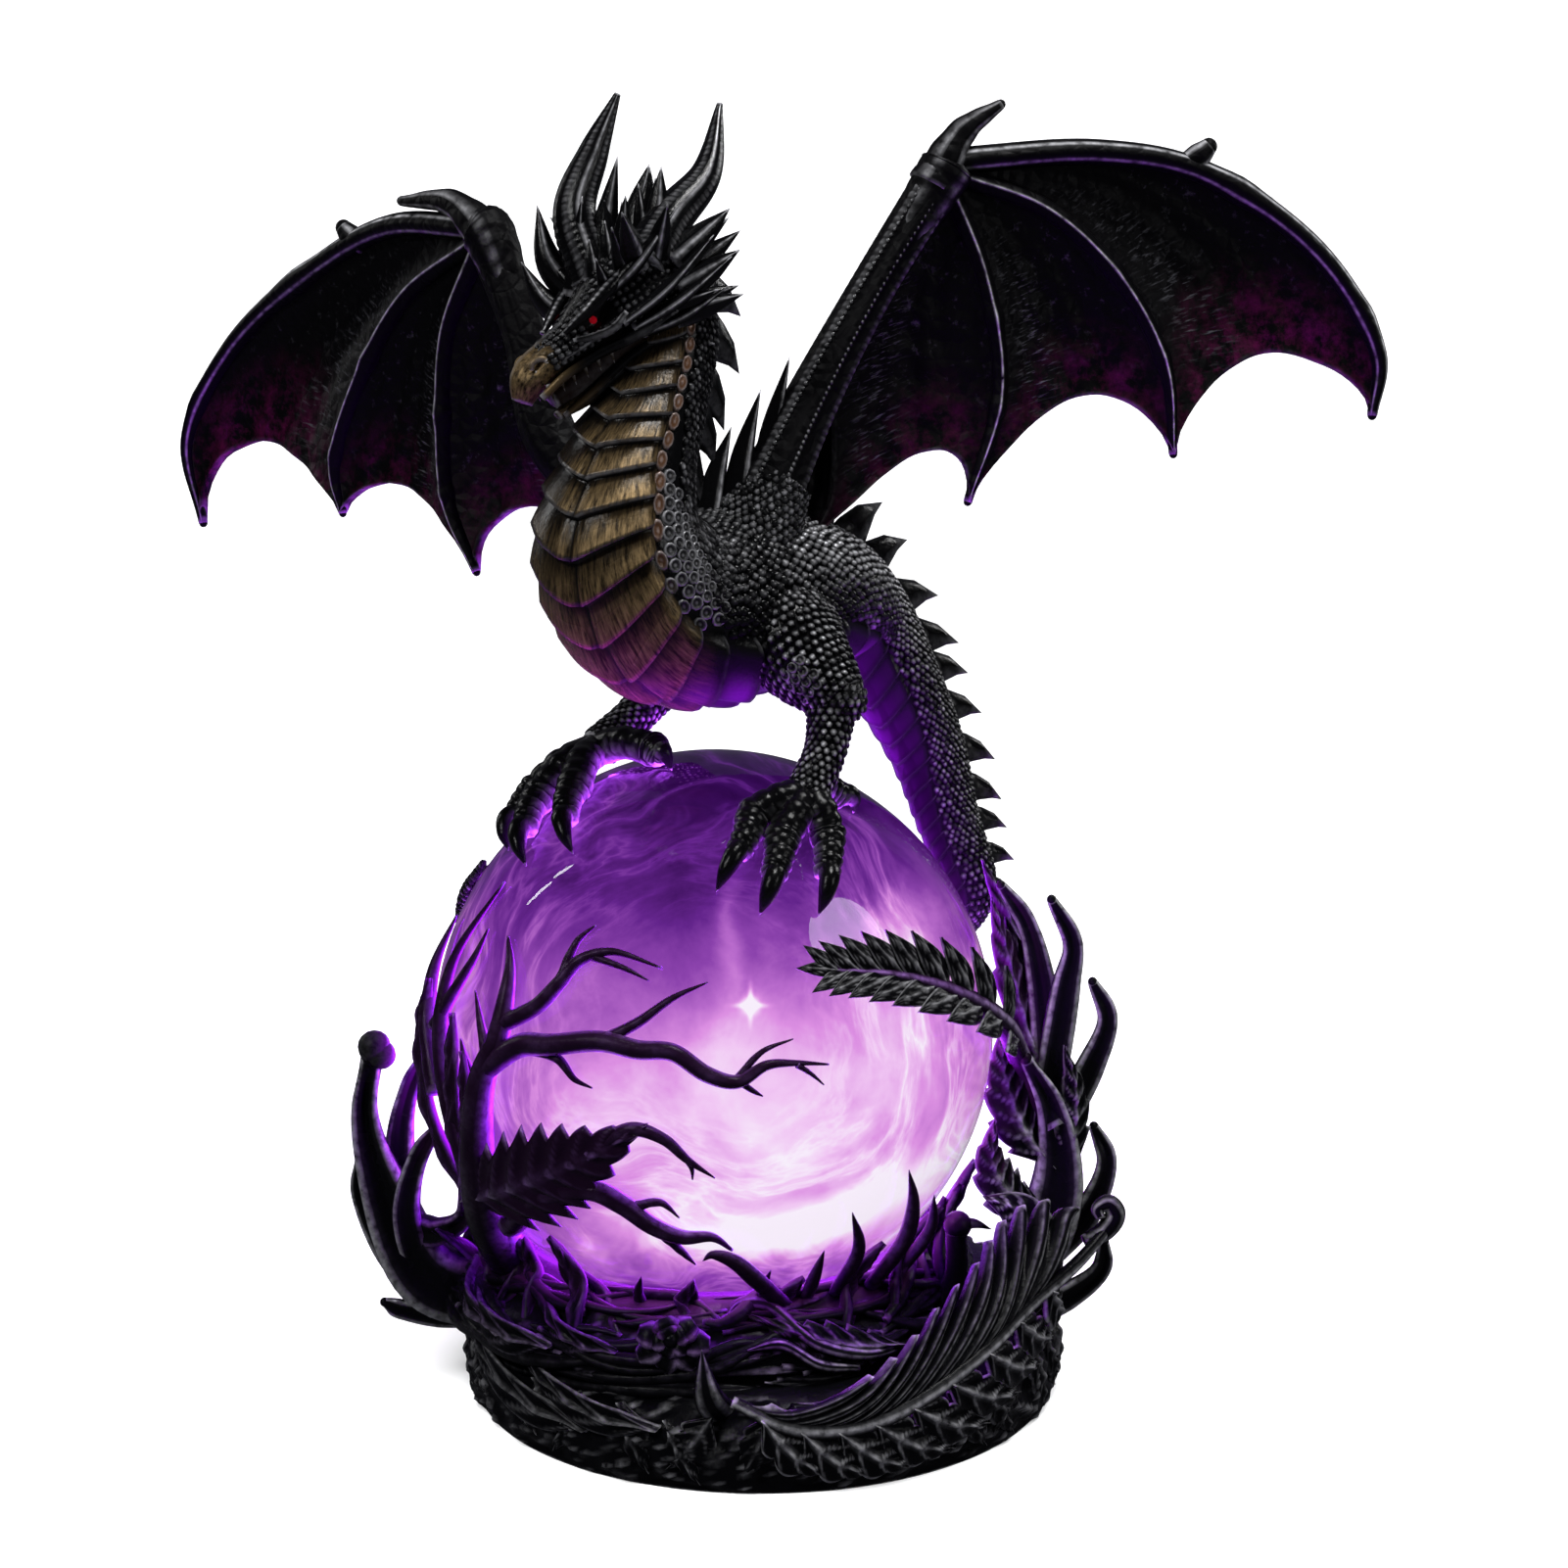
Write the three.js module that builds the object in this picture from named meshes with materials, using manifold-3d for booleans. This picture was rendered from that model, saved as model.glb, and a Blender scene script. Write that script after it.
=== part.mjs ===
// A two-legged dragon perched on a glass ball that sits in a leafy base.
// Millimetres, +Z up. The origin is the middle of the base's flat underside, and the front looks along -Y.
import * as THREE from "three";
import { mergeVertices } from "three/addons/utils/BufferGeometryUtils.js";
import Module from "manifold-3d";

const wasm = await Module();
wasm.setup();

// Driving dimensions
const BALL_R = 40;
const BALL_CENTRE = new THREE.Vector3(-7, 0, 52.5);
const BALL_DETAIL = 4;
const FIT_GAP = 0.3;
const PLINTH_R = 42.5;
const PLINTH_H = 13;
const NEST_H = 23;
const HEADING_DEG = 45;
const HEAD_BACK = new THREE.Vector3(-11.4, -12, 157.7);
const HEAD_YAW_DEG = 63;
const HEAD_PITCH_DEG = 29.5;
const MEMBRANE = 1.2;
const PLATE_COUNT = 14;
const PLATE_LIP = 0.9;

// Directions: the dragon heads towards the front left, and its head turns a little further
const UP = new THREE.Vector3(0, 0, 1);
const rad = THREE.MathUtils.degToRad;
const heading = (yaw) => new THREE.Vector3(-Math.sin(rad(yaw)), -Math.cos(rad(yaw)), 0);
const FORWARD = heading(HEADING_DEG);
const LEFT = new THREE.Vector3().crossVectors(UP, FORWARD);
const HEAD_LEFT = new THREE.Vector3().crossVectors(UP, heading(HEAD_YAW_DEG));
const HEAD_AXIS = heading(HEAD_YAW_DEG).applyAxisAngle(HEAD_LEFT, rad(HEAD_PITCH_DEG));
const HEAD_UP = new THREE.Vector3().crossVectors(HEAD_AXIS, HEAD_LEFT);

const spot = (x, y, z) => new THREE.Vector3(x, y, z);

// A point in an oblique set of axes: an origin plus a step along each of three directions
function step(origin, forward, left, up, axes) {
  return origin
    .clone()
    .addScaledVector(axes[0], forward)
    .addScaledVector(axes[1], left)
    .addScaledVector(axes[2], up);
}

const BODY_AXES = [FORWARD, LEFT, UP];
const HEAD_AXES = [HEAD_AXIS, HEAD_LEFT, HEAD_UP];
const onBody = (forward, left, up) => step(new THREE.Vector3(), forward, left, up, BODY_AXES);
const onHead = (forward, left, up) => step(HEAD_BACK, forward, left, up, HEAD_AXES);

// A point over the ball: degrees round from the front towards +X, degrees above its equator, and height
function onBall(round, above, lift) {
  const reach = BALL_R + lift;
  const flat = reach * Math.cos(rad(above));
  const place = spot(flat * Math.sin(rad(round)), -flat * Math.cos(rad(round)), reach * Math.sin(rad(above)));
  return place.add(BALL_CENTRE);
}

const smooth = (from, to, x) => THREE.MathUtils.smoothstep(x, from, to);

// A value at t in 0..1 between evenly spaced entries of a list
function between(list, t) {
  const place = THREE.MathUtils.clamp(t, 0, 1) * (list.length - 1);
  const low = Math.min(Math.floor(place), list.length - 2);
  return THREE.MathUtils.lerp(list[low], list[low + 1], place - low);
}

const evenly = (count, from = 0, to = 1) =>
  Array.from({ length: count }, (_, i) => from + ((to - from) * i) / (count - 1));

const through = (points) => new THREE.CatmullRomCurve3(points, false, "centripetal");

// Solids: a closed geometry becomes a manifold body, turned outwards if its faces point in
function solid(geometry) {
  geometry.deleteAttribute("normal");
  geometry.deleteAttribute("uv");
  const merged = mergeVertices(geometry, 1e-4);
  const corners = merged.index.array;
  const outward = [];
  const inward = [];
  for (let i = 0; i < corners.length; i += 3) {
    const [a, b, c] = corners.slice(i, i + 3);
    if (a === b || b === c || c === a) continue;
    outward.push(a, b, c);
    inward.push(a, c, b);
  }
  const vertProperties = merged.attributes.position.array;
  const body = (faces) =>
    new wasm.Manifold(new wasm.Mesh({ numProp: 3, vertProperties, triVerts: new Uint32Array(faces) }));
  const made = body(outward);
  return made.volume() > 0 ? made : body(inward);
}

const join = (solids) => solids.reduce((whole, next) => whole.add(next));

// The one outer skin of a body: pockets closed in between its parts count as solid
const larger = (one, two) => (two.volume() > one.volume() ? two : one);
const outerSkin = (body) => body.decompose().reduce(larger);

function mesh(name, body, material) {
  const { numProp, numVert, vertProperties, triVerts } = body.getMesh();
  const places = new Float32Array(numVert * 3);
  for (let i = 0; i < numVert; i++) places.set(vertProperties.subarray(i * numProp, i * numProp + 3), i * 3);
  const geometry = new THREE.BufferGeometry();
  geometry.setAttribute("position", new THREE.BufferAttribute(places, 3));
  geometry.setIndex(new THREE.BufferAttribute(triVerts, 1));
  geometry.computeVertexNormals();
  const made = new THREE.Mesh(geometry, material);
  made.name = name;
  return made;
}

// The section's axes at t along a curve: front leans towards the facing direction, side is square to both
function sectionAt(curve, t, facing) {
  const point = curve.getPoint(t);
  const tangent = curve.getTangent(t);
  const front = (facing instanceof THREE.Vector3 ? facing : facing(point, t)).clone();
  front.addScaledVector(tangent, -front.dot(tangent)).normalize();
  return { point, front, side: new THREE.Vector3().crossVectors(tangent, front) };
}

// A lathe of unit radius with its axis bent along a curve; radii(t, angle) is its reach along front and side
function tube(curve, stations, sides, facing, radii) {
  const outline = [[0, stations[0]], ...stations.map((t) => [1, t]), [0, stations.at(-1)]];
  const profile = outline.map(([reach, t]) => new THREE.Vector2(reach, t));
  const geometry = new THREE.LatheGeometry(profile, sides);
  const places = geometry.attributes.position;
  for (let i = 0; i < places.count; i++) {
    const [across, t, along] = [places.getX(i), places.getY(i), places.getZ(i)];
    const { point, front, side } = sectionAt(curve, t, facing);
    const [deep, wide] = radii(t, Math.atan2(across, along));
    point.addScaledVector(front, along * deep).addScaledVector(side, across * wide);
    places.setXYZ(i, point.x, point.y, point.z);
  }
  return solid(geometry);
}

// A tapering limb through points, with its radius read from an evenly spaced list
function limb(points, radius, { sides = 5, rings = 4, facing = UP, flat = 1 } = {}) {
  return tube(through(points), evenly(rings), sides, facing, (t) => {
    const reach = between(radius, t);
    return [reach * flat, reach];
  });
}

function spike(foot, tip, radius, facing = LEFT) {
  return limb([foot, tip], [radius, 0], { sides: 4, rings: 2, facing });
}

// A sheet as a box bent by place(u, v, w), with u and v in 0..1 across it and w in -0.5..0.5 through it
function sheet(columns, rows, place) {
  const geometry = new THREE.BoxGeometry(1, 1, 1, columns, rows, 1);
  const places = geometry.attributes.position;
  for (let i = 0; i < places.count; i++) {
    const made = place(places.getX(i) + 0.5, places.getY(i) + 0.5, places.getZ(i));
    places.setXYZ(i, made.x, made.y, made.z);
  }
  return solid(geometry);
}

// A leaf along a midrib: a ridge on each face, lens-shaped in plan, its edges cut into teeth
function leaf(points, width, { thick = 2, teeth = 0, bite = 0.38, facing, columns = 3 }) {
  const half = (t) => width * Math.sin(Math.PI * Math.pow(0.1 + 0.9 * t, 0.8));
  const tooth = (_, i) => [(i + 0.3) / teeth, (i + 0.98) / teeth];
  const stations = teeth ? [0, ...Array.from({ length: teeth }, tooth).flat(), 1] : evenly(columns + 1);
  return tube(through(points), stations, 4, facing, (t) => {
    const reach = t < 1 ? half(t) : 0;
    const notch = teeth ? 1 - bite * ((t * teeth + 0.7) % 1) : 1;
    return [Math.min(thick / 2, reach), reach * notch];
  });
}

// Ball and the same facets a fit gap larger, which trims whatever rests on it
function ballSolid(radius) {
  const geometry = new THREE.IcosahedronGeometry(radius, BALL_DETAIL);
  return solid(geometry.translate(...BALL_CENTRE.toArray()));
}

const BALL_CUTTER = ballSolid(BALL_R + FIT_GAP);

// Trunk of the dragon from throat to tail: forward, up, half width, reach to the belly, reach to the back
const SPINE = [
  [17.8, 161, 5, 4.8, 4.8],
  [16.8, 152, 5.8, 5.6, 6.4],
  [20, 143, 6.8, 6.6, 7.4],
  [24.5, 133.5, 8.8, 8.4, 8.4],
  [26, 124.5, 11.2, 11.4, 9.8],
  [20.5, 117, 12.2, 13.4, 11],
  [10.5, 115, 12.4, 14, 12.5],
  [-1, 115, 11.6, 12, 11.5],
  [-11.5, 114, 9.8, 9.6, 9.5],
  [-19.5, 109.5, 8, 7.6, 7.6],
];
// Tail: three points on its way down, then round the back of the ball, each with its radius
const TAIL = [
  [spot(19, 15, 101), 6.6],
  [spot(24, 16, 90.5), 5.5],
  [spot(27.2, 15, 80), 4.5],
  [onBall(112, 23.5, 4.1), 3.8],
  [onBall(128, 11, 3.4), 3.1],
  [onBall(155, 4, 3), 2.7],
  [onBall(188, 1, 2.6), 2.3],
  [onBall(220, 3, 2.2), 1.9],
  [onBall(243, 12, 1.8), 1.5],
  [onBall(256, 25, 1.3), 1],
  [onBall(261, 36, 0.8), 0.3],
];
const SPINE_CURVE = through([...SPINE.map(([s, z]) => onBody(s, 0, z)), ...TAIL.map(([place]) => place)]);
const LAST = SPINE.length + TAIL.length - 1;
const HALF_WIDTH = [...SPINE.map((row) => row[2]), ...TAIL.map(([, r]) => r)];
const BELLY = [...SPINE.map((row) => row[3]), ...TAIL.map(([, r]) => r)];
const BACK = [...SPINE.map((row) => row[4]), ...TAIL.map(([, r]) => r)];
const PLATES_FROM = 1 / LAST;
const PLATES_TO = 8.6 / LAST;
const PLATE_EDGE = rad(58);

// The belly side looks forward and down on neck and body, and towards the ball along the tail
function bellyFacing(point, t) {
  const low = FORWARD.clone().sub(UP).normalize();
  const inward = BALL_CENTRE.clone().sub(point).normalize();
  return low.lerp(inward, smooth(9.5 / LAST, 12.5 / LAST, t));
}

// How far a belly plate stands out: it rises from each plate's upper edge to the lip over the next one
function plateRise(t, angle) {
  if (t < PLATES_FROM || t > PLATES_TO || Math.abs(angle) > PLATE_EDGE) return 0;
  const place = ((t - PLATES_FROM) / (PLATES_TO - PLATES_FROM)) * PLATE_COUNT;
  return PLATE_LIP * (place - Math.floor(place));
}

function trunk() {
  const plate = (PLATES_TO - PLATES_FROM) / PLATE_COUNT;
  const lips = Array.from({ length: PLATE_COUNT }, (_, i) => PLATES_FROM + plate * i);
  const plates = lips.flatMap((t) => [t + 0.02 * plate, t + 0.94 * plate]);
  const stations = [0, ...plates, ...evenly(12, PLATES_TO, 1)];
  return tube(SPINE_CURVE, stations, 11, bellyFacing, (t, angle) => {
    const front = Math.abs(angle) < Math.PI / 2 ? between(BELLY, t) : between(BACK, t);
    const rise = plateRise(t, angle);
    return [front + rise, between(HALF_WIDTH, t) + rise];
  });
}

// Spines down the back: where along the trunk, how long, how thick at the foot
function backSpines() {
  const neck = evenly(5, 1.1, 3.6).map((place) => [place / LAST, 6, 2.6]);
  const rump = evenly(11, 7.6, 13.2).map((place, i) => [place / LAST, 6 - 0.3 * i, 2.6 - 0.12 * i]);
  return [...neck, ...rump].map(([t, length, radius]) => {
    const { point, front } = sectionAt(SPINE_CURVE, t, bellyFacing);
    const foot = point.clone().addScaledVector(front, -between(BACK, t) * 0.86);
    const lean = SPINE_CURVE.getTangent(t).multiplyScalar(0.35 * length);
    const tip = point.clone().addScaledVector(front, -between(BACK, t) - length * 0.75).add(lean);
    return spike(foot, tip, radius);
  });
}

// Head: forward, half width, height of the crown, depth below the axis
const SKULL = [
  [-4, 3.6, 3.4, 4],
  [1, 5.6, 6.8, 4.6],
  [6, 6.2, 8.2, 4.2],
  [10, 6, 7, 3],
  [13.5, 5.6, 5.2, 2],
  [17, 4.3, 3.4, 1.6],
  [21, 3.7, 2.7, 1.7],
  [24.5, 2.9, 1.9, 2.8],
  [26.8, 0.9, -1.2, 3.9],
];

function skull() {
  const curve = through(SKULL.map(([s, , top, low]) => onHead(s, 0, (top - low) / 2)));
  const wide = SKULL.map((row) => row[1]);
  const deep = SKULL.map(([, , top, low]) => (top + low) / 2);
  return tube(curve, evenly(11), 8, HEAD_UP, (t) => [between(deep, t), between(wide, t)]);
}

function jaw() {
  const points = [onHead(4, 0, -3.4), onHead(13, 0, -4.8), onHead(19, 0, -6.4), onHead(23.4, 0, -7)];
  return limb(points, [4.2, 3.2, 2.4, 1], { sides: 6, facing: HEAD_UP, flat: 0.55 });
}

// Spikes of the frill on one side: foot and tip on the head, foot radius
const FRILL = [
  [[5.5, 4.4, 6], [7, 12, 14], 2.6],
  [[11.5, 4.6, 4], [13.5, 9.5, 9], 2],
  [[1, 4.6, 3.4], [-9, 6.5, 6], 2.6],
  [[2, 4.8, 0], [-7, 8, 1], 2.4],
  [[4, 4.6, -2.4], [-4.5, 8.2, -4.2], 2.2],
  [[7.5, 3.4, -4], [1, 5, -8.5], 1.7],
  [[1, 1.6, 5.6], [-5, 1.8, 14.5], 2.2],
];

function frill() {
  return [1, -1].flatMap((hand) =>
    FRILL.map(([foot, tip, radius]) => {
      const place = ([s, w, u]) => onHead(s, w * hand, u);
      return spike(place(foot), place(tip), radius, HEAD_UP);
    }),
  );
}

// Horns sweep up and back from the crown; the near one curls over, the far one stands straighter
function horns() {
  const near = [onHead(4.5, 3.4, 5), spot(-12, -14, 166), spot(-7.4, -9.5, 172), spot(-5.6, -4.5, 181.4)];
  const far = [onHead(8.5, -4, 5), spot(-24.8, -11, 167), spot(-22.4, -9.5, 174.5), spot(-19.1, -8, 182.5)];
  return [near, far].map((points) => limb(points, [4, 3.2, 2.2, 0], { rings: 6, facing: HEAD_LEFT }));
}

// Legs: hip, hock and ankle, then each toe's knuckle and claw tip as degrees round and above the ball
const LEGS = [
  {
    joints: [onBody(5, 8.5, 114), onBody(3.6, 18.6, 102.5), onBall(34, 58, 4)],
    toes: [
      [[15, 56], [2, 41]],
      [[21, 50], [12, 36]],
      [[35, 50], [26, 35]],
      [[48, 61], [60, 56]],
    ],
  },
  {
    joints: [onBody(6, -8.5, 113), onBody(3.4, -15.5, 102), onBall(-92, 68, 3.6)],
    toes: [
      [[-90, 54], [-74, 43]],
      [[-77, 55], [-57, 42]],
      [[-62, 60], [-42, 47]],
      [[-52, 76], [-32, 75]],
    ],
  },
];

function leg({ joints, toes }) {
  const [hip, hock, ankle] = joints;
  const thigh = hip.clone().lerp(hock, 0.45).addScaledVector(FORWARD, 1.5);
  const knee = hock.clone().lerp(hip, 0.12);
  const shin = hock.clone().lerp(ankle, 0.5).addScaledVector(FORWARD, -0.6);
  const parts = [
    limb([hip, thigh, hock], [7.2, 6, 3.5], { sides: 6, rings: 4, facing: FORWARD }),
    limb([knee, shin, ankle], [3.6, 2.7, 2.8], { sides: 6, rings: 3, facing: FORWARD }),
  ];
  for (const [knuckle, tip] of toes) {
    const bend = onBall(...knuckle, 2.6);
    const nail = onBall(knuckle[0] * 0.45 + tip[0] * 0.55, knuckle[1] * 0.45 + tip[1] * 0.55, 1.9);
    const point = onBall(...tip, 0.2);
    parts.push(limb([ankle, bend, nail, point], [2.6, 2.4, 1.9, 0], { sides: 4 }));
  }
  return join(parts);
}

// Wings: each spreads in an upright plane y = offset + slope * x, where its fingers run as [x, z] from wrist
// to tip. The edge runs down the arm to where the membrane meets the flank.
const WINGS = [
  {
    plane: { offset: 1.8, slope: 0.205 },
    arm: [spot(-1, -5, 125), spot(6.5, -0.5, 141), spot(15.2, 3.5, 157), spot(25.5, 7, 173.5)],
    thumb: [spot(23.5, 6.2, 171), spot(27.6, 7, 178.5), spot(33.3, 8.8, 183)],
    spur: [spot(60, 14, 174), spot(64, 14.6, 178)],
    fingers: [
      [[26, 174.5], [47, 176], [62, 173.5], [80, 162], [89.3, 147.5], [88.7, 139]],
      [[26, 173], [40, 168], [51, 158], [57.5, 146], [59, 133.7]],
      [[25.5, 172], [31, 159], [33.5, 143], [29.1, 127.3]],
    ],
    edge: [spot(25.5, 7, 173), spot(15.2, 3.5, 157), spot(10, 2.5, 143), spot(9, 2, 127), spot(5, 0, 121)],
  },
  {
    plane: { offset: -24.7, slope: -0.954 },
    arm: [spot(-13, 1, 122), spot(-29.5, 5.5, 136), spot(-33.5, 8.5, 151), spot(-39, 12.7, 165)],
    thumb: [spot(-38, 12, 163.5), spot(-44, 17, 169), spot(-52.8, 25.7, 169.8)],
    spur: [spot(-60.5, 33.5, 163), spot(-62.5, 34.5, 167)],
    fingers: [
      [[-40, 165.5], [-54, 166.3], [-66, 161.5], [-84, 148.5], [-93.5, 133], [-91.2, 120]],
      [[-40, 164], [-52, 156.5], [-60, 145], [-65.4, 131], [-64.4, 123.5]],
      [[-40, 163], [-45.5, 151], [-46.7, 137], [-46, 126.5], [-41.7, 116.6]],
    ],
    edge: [spot(-39, 13, 164), spot(-33.5, 8.5, 151), spot(-29, 6, 137), spot(-22, 5, 125), spot(-12, 4, 117)],
  },
];
const SCALLOPS = [0.24, 0.235, 0.26];
const BILLOW = 3;
const FINGER_R = [2, 1.8, 1.5, 1.2, 0.4];
const WING_STEPS = 6;

// Places across the wing: a ridge along each finger with a foot on each side, and two lines in each panel
const WING_LINES = [0, 1, 2].flatMap((finger) => {
  const feet = [-1, 0, 1].map((foot) => ({ finger, foot, across: 0 }));
  const inside = [0.33, 0.67].map((across) => ({ finger, foot: 0, across }));
  return [...feet, ...inside];
});
WING_LINES.push({ finger: 2, foot: 0, across: 1 });

// The wing as one sheet: thick along its fingers, thin between, scalloped at the free edge, billowing back
function membrane(edges, back) {
  const curves = edges.map(through);
  return sheet(WING_STEPS, WING_LINES.length - 1, (u, v, w) => {
    const { finger, foot, across } = WING_LINES[Math.round(v * (WING_LINES.length - 1))];
    const hump = 4 * across * (1 - across);
    const scallop = SCALLOPS[finger] * Math.pow(hump, 0.7);
    const reach = 0.05 + u * (0.95 - 0.02 * Math.abs(foot) - scallop);
    const [here, next] = [curves[finger].getPoint(reach), curves[finger + 1].getPoint(reach)];
    const radius = between(FINGER_R, reach);
    const before = finger ? curves[finger - 1].getPoint(reach) : here.clone().multiplyScalar(2).sub(next);
    const aside = (foot < 0 ? before : next).clone().sub(here).normalize();
    const point = here.lerp(next, across).addScaledVector(aside, Math.abs(foot) * radius);
    const thick = foot || across ? MEMBRANE : Math.max(2 * radius, MEMBRANE);
    return point.addScaledVector(back, BILLOW * hump * Math.sin(Math.PI * 0.75 * reach) + w * thick);
  });
}

function wing({ plane, arm, thumb, spur, fingers, edge }) {
  const back = spot(-plane.slope, 1, 0).normalize();
  const inPlane = ([x, z]) => spot(x, plane.offset + plane.slope * x, z);
  return join([
    membrane([...fingers.map((points) => points.map(inPlane)), edge], back),
    limb(arm, [5, 3.8, 3.1, 3.3], { rings: 5, facing: back }),
    limb(thumb, [3.8, 2.3, 0], { rings: 4, facing: back }),
    spike(spur[0], spur[1], 1.9, back),
  ]);
}

// Three long spines lean up along the arm of the near wing
function shoulderSpines() {
  const pairs = [
    [spot(-7.5, -8, 126), spot(-4.2, -5, 138.5)],
    [spot(-4, -6, 126), spot(-0.2, -3, 143.5)],
    [spot(0, -4, 128), spot(3.8, -1, 148)],
  ];
  return pairs.map(([foot, tip]) => spike(foot, tip, 3.2));
}

function dragonSolid() {
  const parts = [trunk(), skull(), jaw(), ...frill(), ...horns(), ...backSpines(), ...shoulderSpines()];
  return outerSkin(join([...parts, ...LEGS.map(leg), ...WINGS.map(wing)]).subtract(BALL_CUTTER));
}

// Plinth: a low turned block with a flat foot; nest: the ring of leaves that cups the ball
function turned(profile, sides, centre) {
  const geometry = new THREE.LatheGeometry(profile.map(([r, z]) => new THREE.Vector2(r, z)), sides);
  return solid(geometry.rotateX(Math.PI / 2).translate(centre.x, centre.y, 0));
}

function plinth() {
  const edge = [
    [PLINTH_R - 0.8, 0],
    [PLINTH_R, 1.6],
    [PLINTH_R + 0.6, 0.55 * PLINTH_H],
    [PLINTH_R - 1, 0.85 * PLINTH_H],
    [PLINTH_R - 5, PLINTH_H],
  ];
  return turned([[0, 0], ...edge, [0, PLINTH_H]], 26, spot(0, 0, 0));
}

function nest() {
  const ring = [
    [36, PLINTH_H - 3],
    [36.5, PLINTH_H + 1],
    [33.5, NEST_H - 4],
    [29.5, NEST_H],
    [26, NEST_H],
  ];
  return turned([[0, PLINTH_H - 3], ...ring, [0, NEST_H]], 20, BALL_CENTRE);
}

// A point on the plinth's side: degrees round from the front, height, and how far it stands out
function onPlinth(round, height, out) {
  const reach = PLINTH_R + out;
  return spot(reach * Math.sin(rad(round)), -reach * Math.cos(rad(round)), height);
}

const outFromAxis = (point) => spot(point.x, point.y, 0).normalize();
const outFromBall = (point) => point.clone().sub(BALL_CENTRE).normalize();

// Leaves carved round the plinth, leaning one way and the other in turn
const PLINTH_LEAVES = 10;
function plinthLeaves() {
  return Array.from({ length: PLINTH_LEAVES }, (_, i) => {
    const round = (360 * i) / PLINTH_LEAVES + 12;
    const lean = i % 2 ? 10 : -12;
    const middle = onPlinth(round + lean * 0.6, 6.5, 0.4);
    const tip = onPlinth(round + lean * 1.6, 13.5, -1.2);
    return leaf([onPlinth(round, 1.5, -0.6), middle, tip], 5.4, { thick: 3.4, facing: outFromAxis });
  });
}

// Blades that stand up round the nest against the ball, taller at the back and the right
const NEST_BLADES = 11;
function nestBlades() {
  return Array.from({ length: NEST_BLADES }, (_, i) => {
    const round = (360 * i) / NEST_BLADES + 8;
    const tall = 14 + 8 * Math.abs(Math.sin(rad(round / 2 + 20))) + 4 * (i % 3);
    const twist = i % 2 ? 9 : -7;
    const middle = onBall(round + twist * 0.5, -50 + tall * 0.4, 2.4);
    const tip = onBall(round + twist, -50 + tall, 1.4);
    return leaf([onBall(round, -57, 4), middle, tip], 3.6, { thick: 3, facing: outFromBall });
  });
}

// Frond: a fat tapering finger with a blunt or knobbed end
const frond = (points, radius) => limb(points, radius, { sides: 4, facing: spot(0, -1, 0) });
const BLUNT = [2.3, 2.3, 2, 1.2];

function leftPlume() {
  const y = -5;
  const root = spot(-36, y + 2, 12);
  const tall = [root, spot(-50, y, 15), spot(-55.8, y, 32.6), spot(-57, y, 41), spot(-55.4, y, 50)];
  const fronds = [
    [spot(-51.5, y + 1, 22), spot(-52.2, y + 2, 37), spot(-50.8, y + 2, 44), spot(-48.6, y + 2, 49)],
    [spot(-49, y, 16), spot(-50.8, y - 3, 28), spot(-48.8, y - 4, 36), spot(-46.4, y - 4, 40)],
    [spot(-49, y, 14), spot(-55, y + 2, 21), spot(-58.2, y + 3, 28), spot(-58.4, y + 3, 33)],
    [spot(-38, y, 12), spot(-47, y - 1, 11.5), spot(-52, y - 2, 12.5), spot(-54.5, y - 2, 13.5)],
    [spot(-50, y, 24), spot(-46, y - 4, 25), spot(-42, y - 8, 28.5), onBall(-58, -18, 2)],
  ];
  return [
    frond(tall, [3.4, 3.6, 3.2, 2.6, 1.8]),
    solid(new THREE.SphereGeometry(2.7, 6, 4).translate(-55.2, y, 51)),
    ...fronds.map((points) => frond(points, BLUNT)),
  ];
}

function rightPlume() {
  const y = -6;
  const root = spot(30, -10, 11);
  const stem = [root, spot(39.6, -9, 24), spot(42, -8, 33), spot(40.8, -8, 43), onBall(79, -3, 5)];
  const fronds = [
    [spot(41, y, 43), spot(39.4, y + 3, 61), spot(37.4, y + 4, 68.5), spot(33.8, y + 4, 73.8)],
    [spot(40.5, y, 44), spot(43, y + 1, 60), spot(43.8, y + 1, 66), spot(40.6, y, 72.6)],
    [spot(41, y, 38), spot(46.6, y, 48.5), spot(48.8, y, 55.5), spot(46.6, y, 60.7)],
    [spot(40.5, y, 20), spot(46.6, y - 1, 27.5), spot(49, y - 1, 34.8), spot(47.2, y, 39.5)],
    [spot(36, y, 11), spot(43.8, y - 2, 15), spot(48.4, y - 2, 19), spot(48.8, y - 2, 23)],
  ];
  const front = [spot(34, -16, 11), spot(38, -15, 22), spot(36, -15, 29.5), spot(30.8, -14, 31.6)];
  const blade = [spot(40, -7, 40), spot(38.6, -2, 54), spot(34.5, -1, 69)];
  return [
    leaf(blade, 6, { thick: 3, teeth: 3, facing: spot(0.5, -1, 0) }),
    limb(stem, [5.2, 4.4, 4, 3, 1.6], { rings: 5, facing: spot(0, -1, 0) }),
    ...fronds.map((points) => frond(points, BLUNT)),
    leaf(front, 5, { thick: 2.8, facing: spot(0.3, -1, 0.2) }),
  ];
}

// Feather leaf that lies over the right of the ball, cut nearly to its rib between the leaflets
const FEATHER_ROUTE = [[79, -3, 4], [66, 7, 3.2], [50, 14.5, 2.6], [36, 20.5, 2.2], [23, 24.5, 1.8]];
const FEATHER_HALF = 6.4;
const LEAFLETS = 9;
function feather() {
  const rib = FEATHER_ROUTE.map((place) => onBall(...place));
  return leaf(rib, FEATHER_HALF, { thick: 2.4, teeth: LEAFLETS, bite: 0.72, facing: outFromBall });
}

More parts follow.
